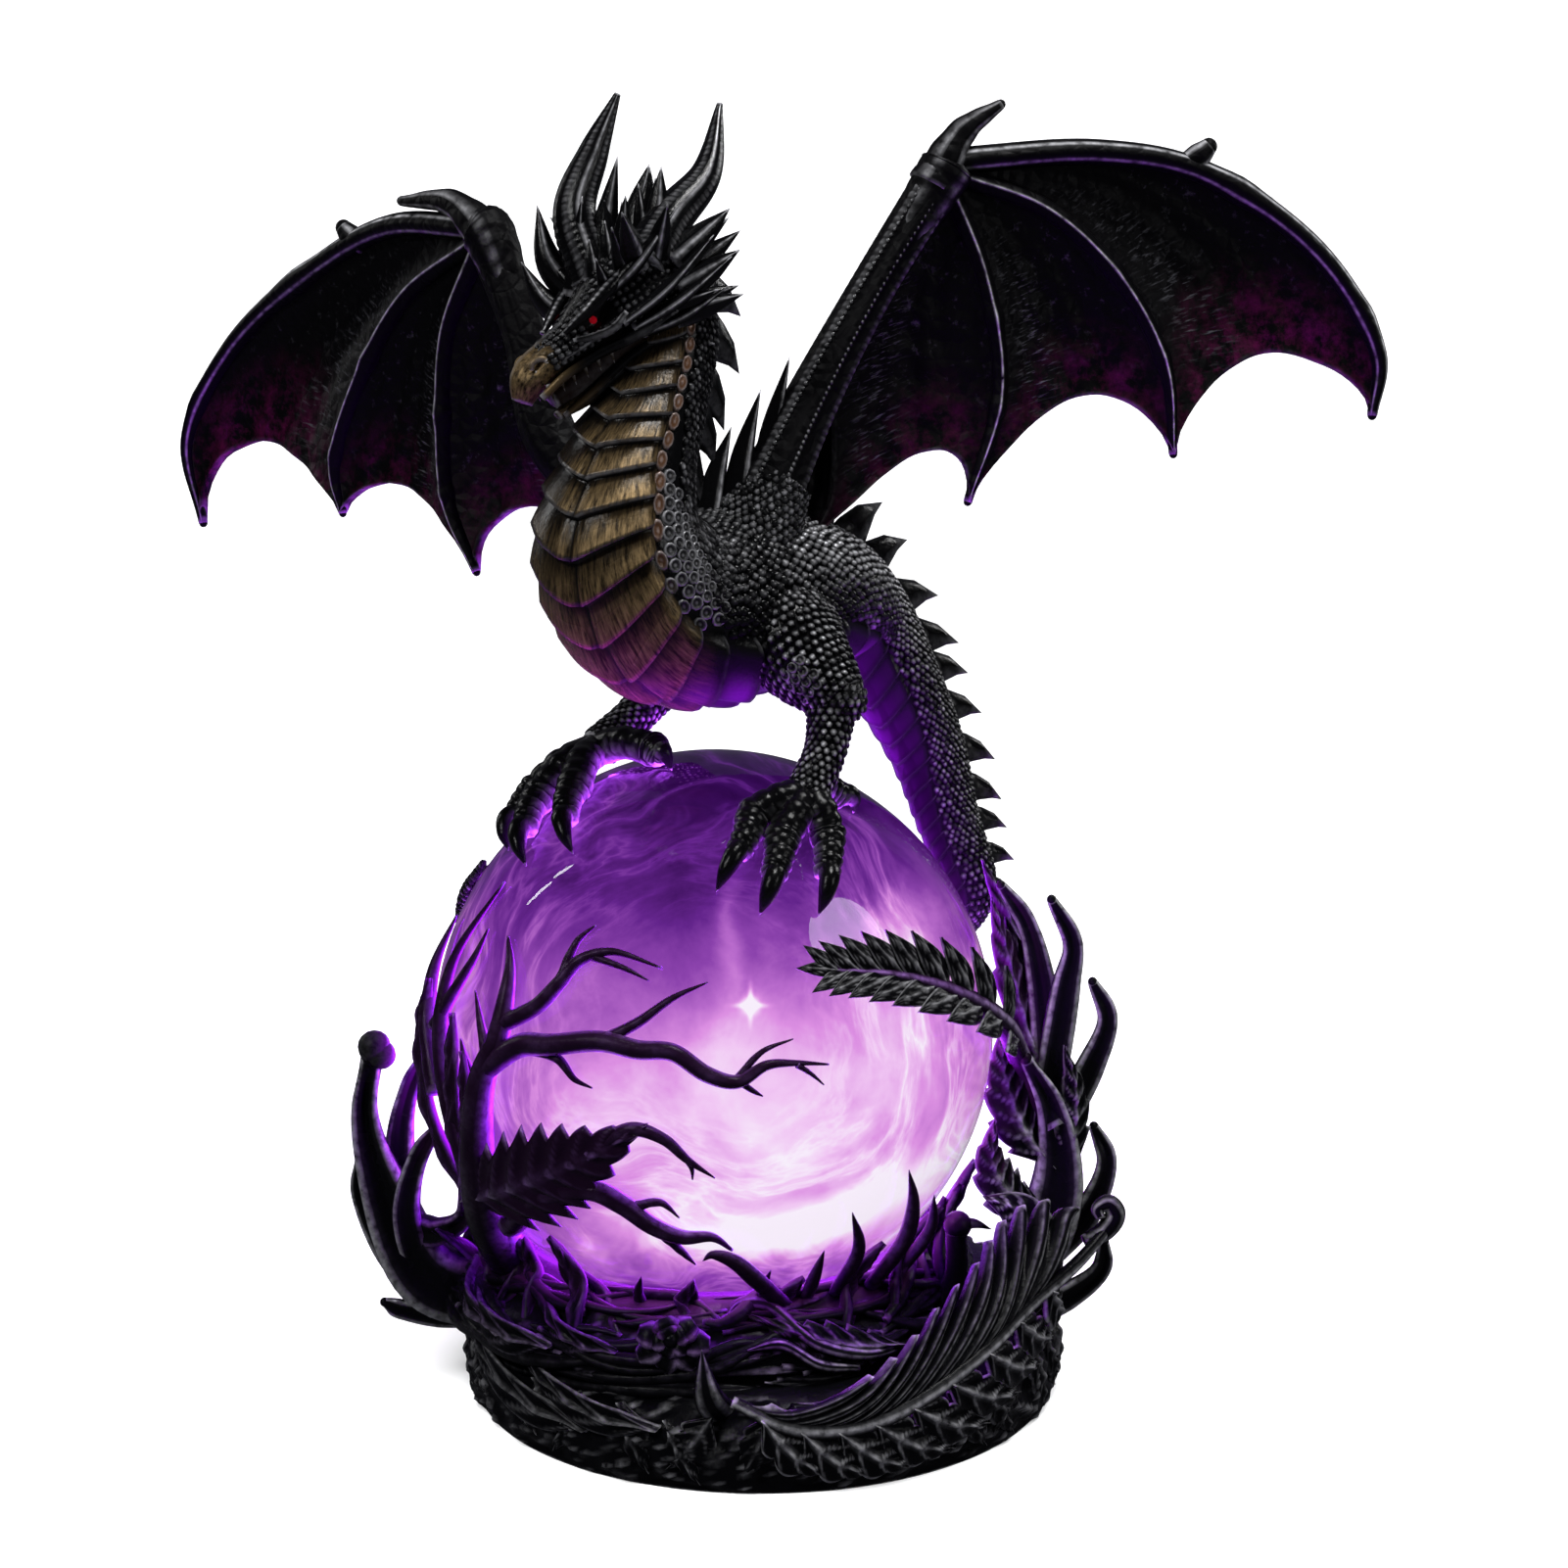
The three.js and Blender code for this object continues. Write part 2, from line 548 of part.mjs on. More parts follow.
// Bare tree on the left of the ball: each branch as degrees round and above, with its radius from root to tip
const BRANCHES = [
  [[[-62, -44], [-52, -26], [-47, -12], [-46, 0], [-44, 10], [-43, 19], [-47, 28]], [4.2, 2.6, 2, 0.6]],
  [[[-45, 8], [-38, 15.5], [-31, 18.5], [-28, 23], [-20, 26], [-9, 25]], [1.5, 1.3, 1, 0.5]],
  [[[-46, 1], [-41, 7], [-30, 11], [-19, 12], [-8, 11], [0, 8], [5, 6], [14, 8], [23, 7]], [1.7, 1.4, 0.4]],
  [[[-19, 12], [-12, 17], [-6, 21], [0, 23]], [1.1, 0.8, 0.4]],
  [[[-30, 22], [-30, 28], [-24, 33]], [1, 0.7, 0.4]],
  [[[-50, -28], [-30, -18], [-20, -19], [-12, -25], [-2, -26], [5, -32]], [2, 1.8, 1.5, 1, 0.6]],
  [[[-16, -5], [-9, -6], [-4, -10], [1, -14]], [1.2, 0.9, 0.4]],
];
const BRANCH_CLEAR = 0.6;
function branch([route, radius]) {
  const lift = (i) => between(radius, i / (route.length - 1)) + BRANCH_CLEAR;
  const points = route.map(([round, above], i) => onBall(round, above, lift(i)));
  return limb(points, radius, { sides: 4, rings: route.length, facing: outFromBall });
}

function tree() {
  const broad = [onBall(-60, -33, 3.4), onBall(-46, -24, 3), onBall(-27, -13, 2.4), onBall(-11, -3, 1.4)];
  return [...BRANCHES.map(branch), leaf(broad, 6.6, { thick: 2.8, teeth: 5, facing: outFromBall })];
}

// Acanthus leaf that sweeps over the front of the base to the right, and the bud with a thorn beside it
function frontCarving() {
  const start = onPlinth(-8, 12, 0.5);
  const middle = [onPlinth(14, 8.5, 1.4), onPlinth(34, 10.5, 1.4), onPlinth(54, 15, 1)];
  const sweep = [start, ...middle, spot(45.5, -11, 22)];
  const scroll = [onPlinth(-24, 11, -1), onPlinth(-8, 14, -3), onPlinth(8, 12.5, -3), onPlinth(24, 14, -4.5)];
  const lobe = [onPlinth(-36, 11, 0.5), onPlinth(-48, 13, 1), onPlinth(-62, 17, 0), onPlinth(-72, 22, -3)];
  const bud = [spot(25, -18, 12), spot(27, -17.5, 22), spot(27, -17, 28)];
  return [
    leaf(sweep, 7.4, { thick: 3.4, teeth: 6, facing: outFromAxis }),
    limb(scroll, [1.6, 1.4, 1.2, 0.8], { rings: 6, facing: outFromAxis }),
    leaf(lobe, 4.2, { thick: 2.8, facing: outFromAxis }),
    limb(bud, [2.2, 1.6, 1.9], { rings: 4, facing: spot(0, -1, 0) }),
    spike(spot(27.5, -17, 28), spot(31.5, -16, 27.4), 1, UP),
  ];
}

function baseSolid() {
  const parts = [plinth(), nest(), ...plinthLeaves(), ...nestBlades(), ...leftPlume(), ...rightPlume()];
  const whole = join([...parts, feather(), ...tree(), ...frontCarving()]).subtract(BALL_CUTTER);
  const floor = new THREE.BoxGeometry(400, 400, 40).translate(0, 0, -20);
  return outerSkin(whole.subtract(solid(floor)));
}

const BLACK_RESIN = new THREE.MeshStandardMaterial({ color: 0x0c0b0d, roughness: 0.42, metalness: 0 });
const VIOLET_GLASS = new THREE.MeshStandardMaterial({ color: 0x9a3fd6, roughness: 0.05, metalness: 0 });

const statue = new THREE.Group();
statue.name = "dragon_statue";
statue.add(mesh("dragon", dragonSolid(), BLACK_RESIN));
statue.add(mesh("crystal_ball", ballSolid(BALL_R), VIOLET_GLASS));
statue.add(mesh("base", baseSolid(), BLACK_RESIN));

export default statue;
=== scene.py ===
# %% [markdown]
# # A dragon perched on a glowing glass ball
# The real thing is a desk ornament: a black cast-resin dragon, a violet glass ball with a lamp inside, and a
# carved base of leaves and roots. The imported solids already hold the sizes. This lesson dresses them:
# every piece below is built over the same skeleton of points as the solids, only finer.

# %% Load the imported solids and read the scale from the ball
import math

import bmesh
import bpy
import numpy as np
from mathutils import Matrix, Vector, noise


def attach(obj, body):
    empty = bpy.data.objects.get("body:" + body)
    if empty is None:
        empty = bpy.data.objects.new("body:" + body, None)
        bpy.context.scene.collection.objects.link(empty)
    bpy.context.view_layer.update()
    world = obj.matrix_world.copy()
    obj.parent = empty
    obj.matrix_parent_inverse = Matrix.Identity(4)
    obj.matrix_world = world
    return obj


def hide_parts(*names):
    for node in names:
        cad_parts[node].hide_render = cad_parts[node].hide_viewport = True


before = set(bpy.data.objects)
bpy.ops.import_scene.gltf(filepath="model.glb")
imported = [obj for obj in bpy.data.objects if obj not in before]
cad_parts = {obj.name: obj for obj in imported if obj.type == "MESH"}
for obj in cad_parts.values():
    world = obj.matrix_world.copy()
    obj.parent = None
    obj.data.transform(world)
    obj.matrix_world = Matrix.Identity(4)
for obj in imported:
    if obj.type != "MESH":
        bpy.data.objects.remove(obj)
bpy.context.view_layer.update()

ball_corners = np.array([v.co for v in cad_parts["crystal_ball"].data.vertices])
ball_middle = (ball_corners.min(0) + ball_corners.max(0)) / 2
BALL_R = 40.0
MM = np.linalg.norm(ball_corners - ball_middle, axis=1).max() / BALL_R
BALL = np.round(ball_middle / MM, 2)
print("one millimetre is", round(MM, 6), "m; ball middle", BALL, "mm")

# %% [markdown]
# ## Camera and studio
# The photograph looks slightly down on the statue from in front with a long lens. A pale floor sweeps up
# into a backdrop, so no horizon shows. Black resin shows its shape by what it mirrors, so small soft
# lamps stand left, right, behind and above, and the rest of the room stays dim. Light linking lets each
# lamp reach only what it is meant for: the paper has lamps of its own, and so has the glass later on.

# %% Camera
scene = bpy.context.scene
LENS_MM = 62.5
SENSOR_MM = 36
EYE = (0.003, -0.380, 0.155)
EYE_TILT = math.radians(80)
lens = bpy.data.cameras.new("photo_lens")
lens.lens = LENS_MM
lens.sensor_width = SENSOR_MM
lens.clip_start = 0.01
camera = bpy.data.objects.new("photo_camera", lens)
camera.location = EYE
camera.rotation_euler = (EYE_TILT, 0, 0)
scene.collection.objects.link(camera)
scene.camera = camera
scene.view_settings.view_transform = "Standard"
print("camera at", tuple(camera.location), "lens", lens.lens)


# %% A short way to add nodes
def node(tree, kind, inputs=None, **settings):
    made = tree.nodes.new(kind)
    for name, value in settings.items():
        setattr(made, name, value)
    for name, value in (inputs or {}).items():
        if isinstance(value, bpy.types.NodeSocket):
            tree.links.new(value, made.inputs[name])
        else:
            made.inputs[name].default_value = value
    return made


def math_node(tree, operation, *values, clamp=False):
    inputs = dict(enumerate(values))
    return node(tree, "ShaderNodeMath", inputs, operation=operation, use_clamp=clamp).outputs[0]


def mix_colour(tree, factor, one, two):
    return node(tree, "ShaderNodeMix", {0: factor, 6: one, 7: two}, data_type="RGBA").outputs[2]


def noise_fac(tree, vector, scale, detail=2.0, rough=0.5):
    inputs = {"Vector": vector, "Scale": scale, "Detail": detail, "Roughness": rough}
    return node(tree, "ShaderNodeTexNoise", inputs).outputs["Fac"]


def new_group(name, inputs, outputs, kind="ShaderNodeTree"):
    """A node group whose sockets are given as title and kind; returns it and what flows in."""
    group = bpy.data.node_groups.new(name, kind)
    for way, sockets in (("INPUT", inputs), ("OUTPUT", outputs)):
        for title, sort in sockets.items():
            group.interface.new_socket(title, in_out=way, socket_type="NodeSocket" + sort)
    return group, node(group, "NodeGroupInput").outputs


def new_finish(name):
    finish = bpy.data.materials.new(name)
    finish.use_nodes = True
    tree = finish.node_tree
    where = node(tree, "ShaderNodeTexCoord").outputs["Object"]
    return finish, tree, tree.nodes["Principled BSDF"], where


def link_object(name, data):
    made = bpy.data.objects.new(name, data)
    scene.collection.objects.link(made)
    return made


print("helpers:", node.__name__, math_node.__name__, mix_colour.__name__, new_finish.__name__)


# %% Floor and backdrop in one sweep
PAPER_LOW = (0.86, 0.86, 0.87, 1)
PAPER_HIGH = (0.92, 0.92, 0.93, 1)
PAPER_IN_MIRRORS = (0.035, 0.035, 0.04, 1)


def sweep_of_paper(width=1.2, front=-1.2, back=0.9, curve=0.5, height=2.2):
    turn = np.linspace(0, math.pi / 2, 24)
    line = [(front, 0.0)] + [(back + curve * math.sin(a), curve * (1 - math.cos(a))) for a in turn]
    line.append((back + curve, height))
    mesh = bpy.data.meshes.new("paper_sweep")
    points = [(x, y, z) for y, z in line for x in (-width, width)]
    faces = [(2 * i, 2 * i + 1, 2 * i + 3, 2 * i + 2) for i in range(len(line) - 1)]
    mesh.from_pydata(points, [], faces)
    mesh.polygons.foreach_set("use_smooth", [True] * len(faces))
    return link_object("paper_sweep", mesh)


paper, tree, shader, where = new_finish("pale_paper")
tint = node(tree, "ShaderNodeValToRGB", {"Fac": noise_fac(tree, where, 60)})
tint.color_ramp.elements[0].color = PAPER_LOW
tint.color_ramp.elements[1].color = PAPER_HIGH
seen = node(tree, "ShaderNodeLightPath").outputs["Is Camera Ray"]
shown = mix_colour(tree, seen, PAPER_IN_MIRRORS, tint.outputs["Color"])
tree.links.new(shown, shader.inputs["Base Color"])
shader.inputs["Roughness"].default_value = 0.9
shader.inputs["Specular IOR Level"].default_value = 0.0
floor = sweep_of_paper()
floor.data.materials.append(paper)
print("floor and backdrop", len(floor.data.polygons), "faces")


# %% Soft lamps
def soft_lamp(name, place, aim, size, power):
    lamp = bpy.data.lights.new(name, "AREA")
    lamp.shape = "ELLIPSE"
    lamp.size, lamp.size_y = size
    lamp.energy = power
    made = link_object(name, lamp)
    made.location = place
    made.rotation_euler = (Vector(aim) - Vector(place)).to_track_quat("-Z", "Y").to_euler()
    return made


MIDDLE = (0, 0, 0.1)
RESIN_LAMPS = [  # name, place, size, watts
    ("key_left", (-0.42, -0.42, 0.52), (0.12, 0.12), 1.5),
    ("fill_right", (0.55, -0.35, 0.30), (0.08, 0.2), 0.5),
    ("rim_left", (-0.50, 0.32, 0.34), (0.05, 0.35), 0.35),
    ("rim_right", (0.48, 0.36, 0.36), (0.05, 0.35), 0.8), ("top", (0.16, -0.10, 0.72), (0.12, 0.12), 2.9),
]
PAPER_LAMPS = [  # name, place, aim, watts
    ("paper_lamp", (0, -0.6, 2.4), (0, 0.4, 0), 75), ("wall_lamp", (0, -1.2, 1.2), (0, 1.4, 0.6), 90),
]
PAPER_LAMP_SIZE = (2.4, 2.0)
ROOM_IN_MIRRORS = (0.012, 0.012, 0.015, 1)
ROOM_SEEN = (0.97, 0.97, 0.98, 1)
resin_lamps = [soft_lamp(name, place, MIDDLE, size, power) for name, place, size, power in RESIN_LAMPS]
paper_only = bpy.data.collections.new("lit_by_the_paper_lamps")
paper_only.objects.link(floor)
for name, place, aim, power in PAPER_LAMPS:
    paper_lamp = soft_lamp(name, place, aim, PAPER_LAMP_SIZE, power)
    paper_lamp.light_linking.receiver_collection = paper_only
world = bpy.data.worlds.new("dim_room")
world.use_nodes = True
tree = world.node_tree
seen = node(tree, "ShaderNodeLightPath").outputs["Is Camera Ray"]
shown = mix_colour(tree, seen, ROOM_IN_MIRRORS, ROOM_SEEN)
tree.links.new(shown, tree.nodes["Background"].inputs["Color"])
scene.world = world

# %% [markdown]
# ## Shared finishes
# The resin is cast black, then a nearly dry brush of silver is dragged over it, so paint stays only on what
# stands proud; the silver also stands in for the glints those edges catch, so it is partly a painted
# highlight. Each mesh below carries marks on its points: `lift` is measured from its own curvature, `line` is
# a drawn brush stroke and `shade` keeps the brush off, at random and as painted shade where a surface faces
# down; below zero it brushes on more, which on the rump is a painted highlight. One violet mark paints the
# ball's glow on the resin, and plum dust on the wings. One node group turns the marks into a patchy brush
# mark, and a second gives the faint grain of a casting. Marks stay with the mesh wherever it goes.


# %% Node group: dry brush
def dry_brush_group():
    inputs = {"Coordinates": "Vector", "Lift": "Float", "Grain": "Float", "Reach": "Float"}
    group, given = new_group("Dry brush", inputs, {"Mask": "Float"})
    patch = noise_fac(group, given["Coordinates"], given["Grain"], 4)
    patchy = math_node(group, "MULTIPLY_ADD", patch, 2.4, -0.55, clamp=True)
    brushed = math_node(group, "MULTIPLY", given["Lift"], given["Reach"])
    mask = math_node(group, "MULTIPLY", brushed, patchy, clamp=True)
    node(group, "NodeGroupOutput", {"Mask": mask})
    return group


DRY_BRUSH = dry_brush_group()
print("group", DRY_BRUSH.name, [s.name for s in DRY_BRUSH.interface.items_tree])


# %% Node group: cast grain
def cast_grain_group():
    inputs = {"Coordinates": "Vector", "Grain": "Float", "Dull": "Float"}
    group, given = new_group("Cast grain", inputs, {"Height": "Float", "Roughness": "Float"})
    fine = noise_fac(group, given["Coordinates"], given["Grain"], 5, 0.6)
    broad = math_node(group, "MULTIPLY", given["Grain"], 0.12)
    wander = noise_fac(group, given["Coordinates"], broad, 3)
    wander = math_node(group, "MULTIPLY_ADD", wander, 0.3, -0.15)
    rough = math_node(group, "ADD", given["Dull"], wander, clamp=True)
    node(group, "NodeGroupOutput", {"Height": fine, "Roughness": rough})
    return group


CAST_GRAIN = cast_grain_group()
print("group", CAST_GRAIN.name)


# %% Resin: black, brushed silver, antique gold on the plates, red in the eyes
# The eyes also carry a faint painted glow, and the ball's violet glow is painted on where it falls.
SILVER = (0.72, 0.72, 0.76)
PAINTED_VIOLET_GLOW = (0.2, 0.035, 0.25, 1)
GLOW_TINTED_BRUSH = (0.34, 0.07, 0.62, 1)
GOLD_LOW = (0.022, 0.014, 0.006, 1)
GOLD_HIGH = (0.33, 0.225, 0.105, 1)
COPPER = (0.17, 0.058, 0.02, 1)
EYE_PAINT = (0.35, 0.0, 0.01, 1)
EYE_GLOW = (1, 0.01, 0.03, 1)
EYE_STRENGTH = 0.14


def mark(tree, name):
    return node(tree, "ShaderNodeAttribute", attribute_name=name).outputs["Fac"]


def place_group(tree, group, **inputs):
    return node(tree, "ShaderNodeGroup", inputs, node_tree=group).outputs


def resin(name, black, dull, bump, shine, gilded):
    finish, tree, shader, where = new_finish(name)
    shown = math_node(tree, "SUBTRACT", 1.0, mark(tree, "shade"))
    raised = math_node(tree, "MAXIMUM", mark(tree, "lift"), mark(tree, "line"))
    raised = math_node(tree, "MULTIPLY", raised, shown)
    brushed = place_group(tree, DRY_BRUSH, Coordinates=where, Lift=raised, Grain=900.0, Reach=1.0)
    grain = place_group(tree, CAST_GRAIN, Coordinates=where, Grain=1500.0, Dull=dull)
    tone = node(tree, "ShaderNodeValToRGB", {"Fac": grain["Height"]})
    tone.color_ramp.elements[0].color = (*black, 1)
    tone.color_ramp.elements[1].color = (*(2 * part for part in black), 1)
    colour = tone.outputs["Color"]
    metal = math_node(tree, "MULTIPLY", brushed["Mask"], 0.25)
    if gilded:
        way = {0: mark(tree, "streak"), 1: mark(tree, "band")}
        way = node(tree, "ShaderNodeCombineXYZ", way).outputs[0]
        hair = noise_fac(tree, way, 1.0, 6, 0.7)
        gold = node(tree, "ShaderNodeValToRGB", {"Fac": hair})
        gold.color_ramp.elements[0].position = 0.38
        gold.color_ramp.elements[0].color = GOLD_LOW
        gold.color_ramp.elements[1].position = 0.62
        gold.color_ramp.elements[1].color = GOLD_HIGH
        colour = mix_colour(tree, mark(tree, "gold"), colour, gold.outputs["Color"])
        colour = mix_colour(tree, mark(tree, "flesh"), colour, COPPER)
        metal = math_node(tree, "MAXIMUM", metal, math_node(tree, "MULTIPLY", mark(tree, "gold"), 0.5))
    # The ball's violet glow, painted on the resin as a metallic violet so that it mirrors the ball too.
    colour = mix_colour(tree, mark(tree, "dust"), colour, PAINTED_VIOLET_GLOW)
    metal = math_node(tree, "MAXIMUM", metal, math_node(tree, "MULTIPLY", mark(tree, "dust"), 0.8))
    brush = (*SILVER, 1)
    # On the base the silver brush turns violet where it lies low or touches the glass: the ball's glow,
    # painted on.
    if not gilded:
        brush = mix_colour(tree, mark(tree, "band"), brush, GLOW_TINTED_BRUSH)
    colour = mix_colour(tree, brushed["Mask"], colour, brush)
    if gilded:
        # A faint painted glow in the eyes.
        colour = mix_colour(tree, mark(tree, "eye"), colour, EYE_PAINT)
        glow = mix_colour(tree, mark(tree, "eye"), (0, 0, 0, 1), EYE_GLOW)
        tree.links.new(glow, shader.inputs["Emission Color"])
        shader.inputs["Emission Strength"].default_value = EYE_STRENGTH
    tree.links.new(colour, shader.inputs["Base Color"])
    tree.links.new(metal, shader.inputs["Metallic"])
    rough, height = grain["Roughness"], grain["Height"]
    if gilded:
        rough = math_node(tree, "MAXIMUM", rough, math_node(tree, "MULTIPLY", mark(tree, "gold"), 0.46))
        scored = math_node(tree, "MULTIPLY", mark(tree, "gold"), 3.0)
        scored = math_node(tree, "MULTIPLY", hair, scored)
        height = math_node(tree, "ADD", height, scored)
    tree.links.new(rough, shader.inputs["Roughness"])
    relief = node(tree, "ShaderNodeBump", {"Height": height, "Strength": bump, "Distance": 0.0004})
    tree.links.new(relief.outputs["Normal"], shader.inputs["Normal"])
    shader.inputs["Specular IOR Level"].default_value = shine
    return finish


DRAGON_RESIN = resin("dragon_resin", (0.0022, 0.0022, 0.0026), dull=0.2, bump=0.2, shine=0.18, gilded=True)
BASE_RESIN = resin("base_resin", (0.0022, 0.0022, 0.003), dull=0.25, bump=0.25, shine=0.065, gilded=False)
print("finishes", DRAGON_RESIN.name, BASE_RESIN.name)


# %% Wing skin: black, crinkled beside the fingers, dusted with plum towards the free edge
SKIN_BLACK = (0.002, 0.0018, 0.0026, 1)
PLUM_DUST = (0.15, 0.007, 0.075, 1)
FLECK_AND_HIGHLIGHT_GREY = (0.08, 0.08, 0.09, 1)
CRINKLE_GREY = (0.14, 0.14, 0.16, 1)
SKIN_SHINE = 0.075


def wing_skin():
    finish, tree, shader, where = new_finish("wing_skin")
    raised = math_node(tree, "MAXIMUM", mark(tree, "lift"), mark(tree, "line"))
    brushed = place_group(tree, DRY_BRUSH, Coordinates=where, Lift=raised, Grain=700.0, Reach=1.1)
    grain = place_group(tree, CAST_GRAIN, Coordinates=where, Grain=900.0, Dull=0.5)
    cells = {"Vector": where, "Scale": 420}
    crackle = node(tree, "ShaderNodeTexVoronoi", cells, feature="DISTANCE_TO_EDGE")
    crease = math_node(tree, "MULTIPLY", crackle.outputs["Distance"], 2.2, clamp=True)
    dust = math_node(tree, "MULTIPLY_ADD", noise_fac(tree, where, 260, 6, 0.75), 4.0, -1.75, clamp=True)
    dust = math_node(tree, "MULTIPLY", dust, mark(tree, "dust"), clamp=True)
    colour = mix_colour(tree, dust, SKIN_BLACK, PLUM_DUST)
    # Grey flecks over the middle of each panel: speckle, and partly a painted highlight where the folds catch
    # the light.
    flecks_and_highlight = math_node(tree, "MULTIPLY_ADD", noise_fac(tree, where, 620, 5, 0.7), 5.0, -2.95, clamp=True)
    flecks_and_highlight = math_node(tree, "MULTIPLY", flecks_and_highlight, mark(tree, "band"), clamp=True)
    colour = mix_colour(tree, flecks_and_highlight, colour, FLECK_AND_HIGHLIGHT_GREY)
    way = node(tree, "ShaderNodeCombineXYZ", {0: mark(tree, "streak"), 1: mark(tree, "flesh")}).outputs[0]
    dash = math_node(tree, "MULTIPLY_ADD", noise_fac(tree, way, 1.0, 3, 0.6), 6.0, -3.3, clamp=True)
    dash = math_node(tree, "MULTIPLY", dash, mark(tree, "gold"), clamp=True)
    colour = mix_colour(tree, dash, colour, CRINKLE_GREY)
    colour = mix_colour(tree, brushed["Mask"], colour, (*SILVER, 1))
    tree.links.new(colour, shader.inputs["Base Color"])
    tree.links.new(grain["Roughness"], shader.inputs["Roughness"])
    shader.inputs["Specular IOR Level"].default_value = SKIN_SHINE
    height = math_node(tree, "MULTIPLY_ADD", grain["Height"], 0.5, crease)
    height = math_node(tree, "ADD", height, dash)
    relief = node(tree, "ShaderNodeBump", {"Height": height, "Strength": 0.35, "Distance": 0.0005})
    tree.links.new(relief.outputs["Normal"], shader.inputs["Normal"])
    return finish


WING_SKIN = wing_skin()
print("finish", WING_SKIN.name)

# %% [markdown]
# ## Clay: routes, tubes and sheets
# Almost everything on the statue is a tube or a leaf bent along a smooth line. The helpers below sample such
# a line, stand a section across it at each step, and press the closed shells together into one skin.
# Shells may sink into each other, as lumps of clay do, so no cutting is needed.


# %% A smooth line through points, and a smooth run of values
def route(points, t):
    points = np.asarray(points, float)
    last = len(points) - 1
    run = np.vstack([2 * points[0] - points[1], points, 2 * points[-1] - points[-2]])
    gap = np.maximum(np.sum(np.diff(run, axis=0) ** 2, axis=1) ** 0.25, 1e-4)[:, None]
    place = np.clip(np.asarray(t, float), 0, 1) * last
    i = np.minimum(place.astype(int), last - 1)
    w = (place - i)[:, None]
    a, b, c, d = run[i], run[i + 1], run[i + 2], run[i + 3]
    ga, gb, gc = gap[i], gap[i + 1], gap[i + 2]
    leave = gb * ((b - a) / ga - (c - a) / (ga + gb) + (c - b) / gb)
    reach = gb * ((c - b) / gb - (d - b) / (gb + gc) + (d - c) / gc)
    bow = 3 * c - 3 * b - 2 * leave - reach
    twist = 2 * b - 2 * c + leave + reach
    return b + w * leave + w**2 * bow + w**3 * twist


def eased(values, t):
    values = np.asarray(values, float)
    last = len(values) - 1
    run = np.r_[2 * values[0] - values[1], values, 2 * values[-1] - values[-2]]
    place = np.clip(np.asarray(t, float), 0, 1) * last
    i = np.minimum(place.astype(int), last - 1)
    w = place - i
    a, b, c, d = run[i], run[i + 1], run[i + 2], run[i + 3]
    return b + 0.5 * w * (c - a + w * (2 * a - 5 * b + 4 * c - d + w * (3 * (b - c) + d - a)))


def unit(vectors):
    vectors = np.asarray(vectors, float)
    return vectors / np.maximum(np.linalg.norm(vectors, axis=-1, keepdims=True), 1e-9)


def ramp(low, high, x):
    w = np.clip((np.asarray(x, float) - low) / (high - low), 0, 1)
    return w * w * (3 - 2 * w)


def bell(x, middle, spread):
    return np.exp(-(((x - middle) / spread) ** 2))


def from_front(turn):
    return np.abs((turn + math.pi) % (2 * math.pi) - math.pi)


def sections(points, t, facing):
    t = np.asarray(t, float)
    here = route(points, t)
    tangent = unit(route(points, np.minimum(t + 1e-3, 1)) - route(points, np.maximum(t - 1e-3, 0)))
    aim = facing(here, t) if callable(facing) else np.broadcast_to(facing, here.shape)
    front = unit(aim - tangent * np.sum(aim * tangent, axis=1, keepdims=True))
    return here, tangent, front, np.cross(tangent, front)


print("half way along a bend:", route([(0, 0, 0), (1, 0, 0), (1, 1, 0)], [0.5])[0])


# %% Clay: shells pressed into one skin, with painted marks on every point
MARKS = ("gold", "dust", "eye", "flesh", "line", "shade", "streak", "band")


class Clay:
    def __init__(self):
        self.points, self.faces, self.count = [], [], 0
        self.marks = {name: [] for name in MARKS}

    def press(self, points, faces, **marks):
        points = np.asarray(points, float).reshape(-1, 3)
        for group in faces:
            self.faces.extend((np.asarray(group) + self.count).tolist())
        for name in MARKS:
            value = np.asarray(marks.get(name, 0.0), float).ravel()
            self.marks[name].append(np.broadcast_to(value, len(points)))
        self.points.append(points)
        self.count += len(points)


def lattice(rows, columns, wrap):
    row, column = np.meshgrid(np.arange(rows - 1), np.arange(columns - (not wrap)), indexing="ij")
    beside = (column + 1) % columns
    low, high = row * columns, (row + 1) * columns
    return np.stack([low + column, low + beside, high + beside, high + column], -1).reshape(-1, 4)


def press_tube(clay, skin, **marks):
    rings, sides = skin.shape[:2]
    points = np.vstack([skin.reshape(-1, 3), skin[0].mean(0), skin[-1].mean(0)])
    turn = np.arange(sides)
    beside = (turn + 1) % sides
    middle = np.full(sides, rings * sides)
    start = np.stack([middle, beside, turn], 1)
    end = np.stack([middle + 1, (rings - 1) * sides + turn, (rings - 1) * sides + beside], 1)
    full = {}
    for name, value in marks.items():
        value = np.broadcast_to(value, (rings, sides))
        full[name] = np.r_[value.ravel(), value[0, 0], value[-1, 0]]
    clay.press(points, [lattice(rings, sides, True), start, end], **full)


def press_sheet(clay, top, under, **marks):
    rows, columns = top.shape[:2]
    size = rows * columns
    face = lattice(rows, columns, False)
    ids = np.arange(size).reshape(rows, columns)

    def strip(edge):
        return np.stack([edge[:-1], edge[1:], edge[1:] + size, edge[:-1] + size], 1)

    rim = [strip(ids[:, 0]), strip(ids[::-1, -1]), strip(ids[0, ::-1]), strip(ids[-1])]
    full = {}
    for name, value in marks.items():
        full[name] = np.tile(np.broadcast_to(value, (rows, columns)).ravel(), 2)
    points = np.vstack([top.reshape(-1, 3), under.reshape(-1, 3)])
    clay.press(points, [face, face[:, ::-1] + size, *rim], **full)


print("marks on every point:", MARKS)

# %% Tube: a tapering limb, with an optional carving of its skin
TO_FRONT = np.array([0.0, -1.0, 0.0])
UP = np.array([0.0, 0.0, 1.0])


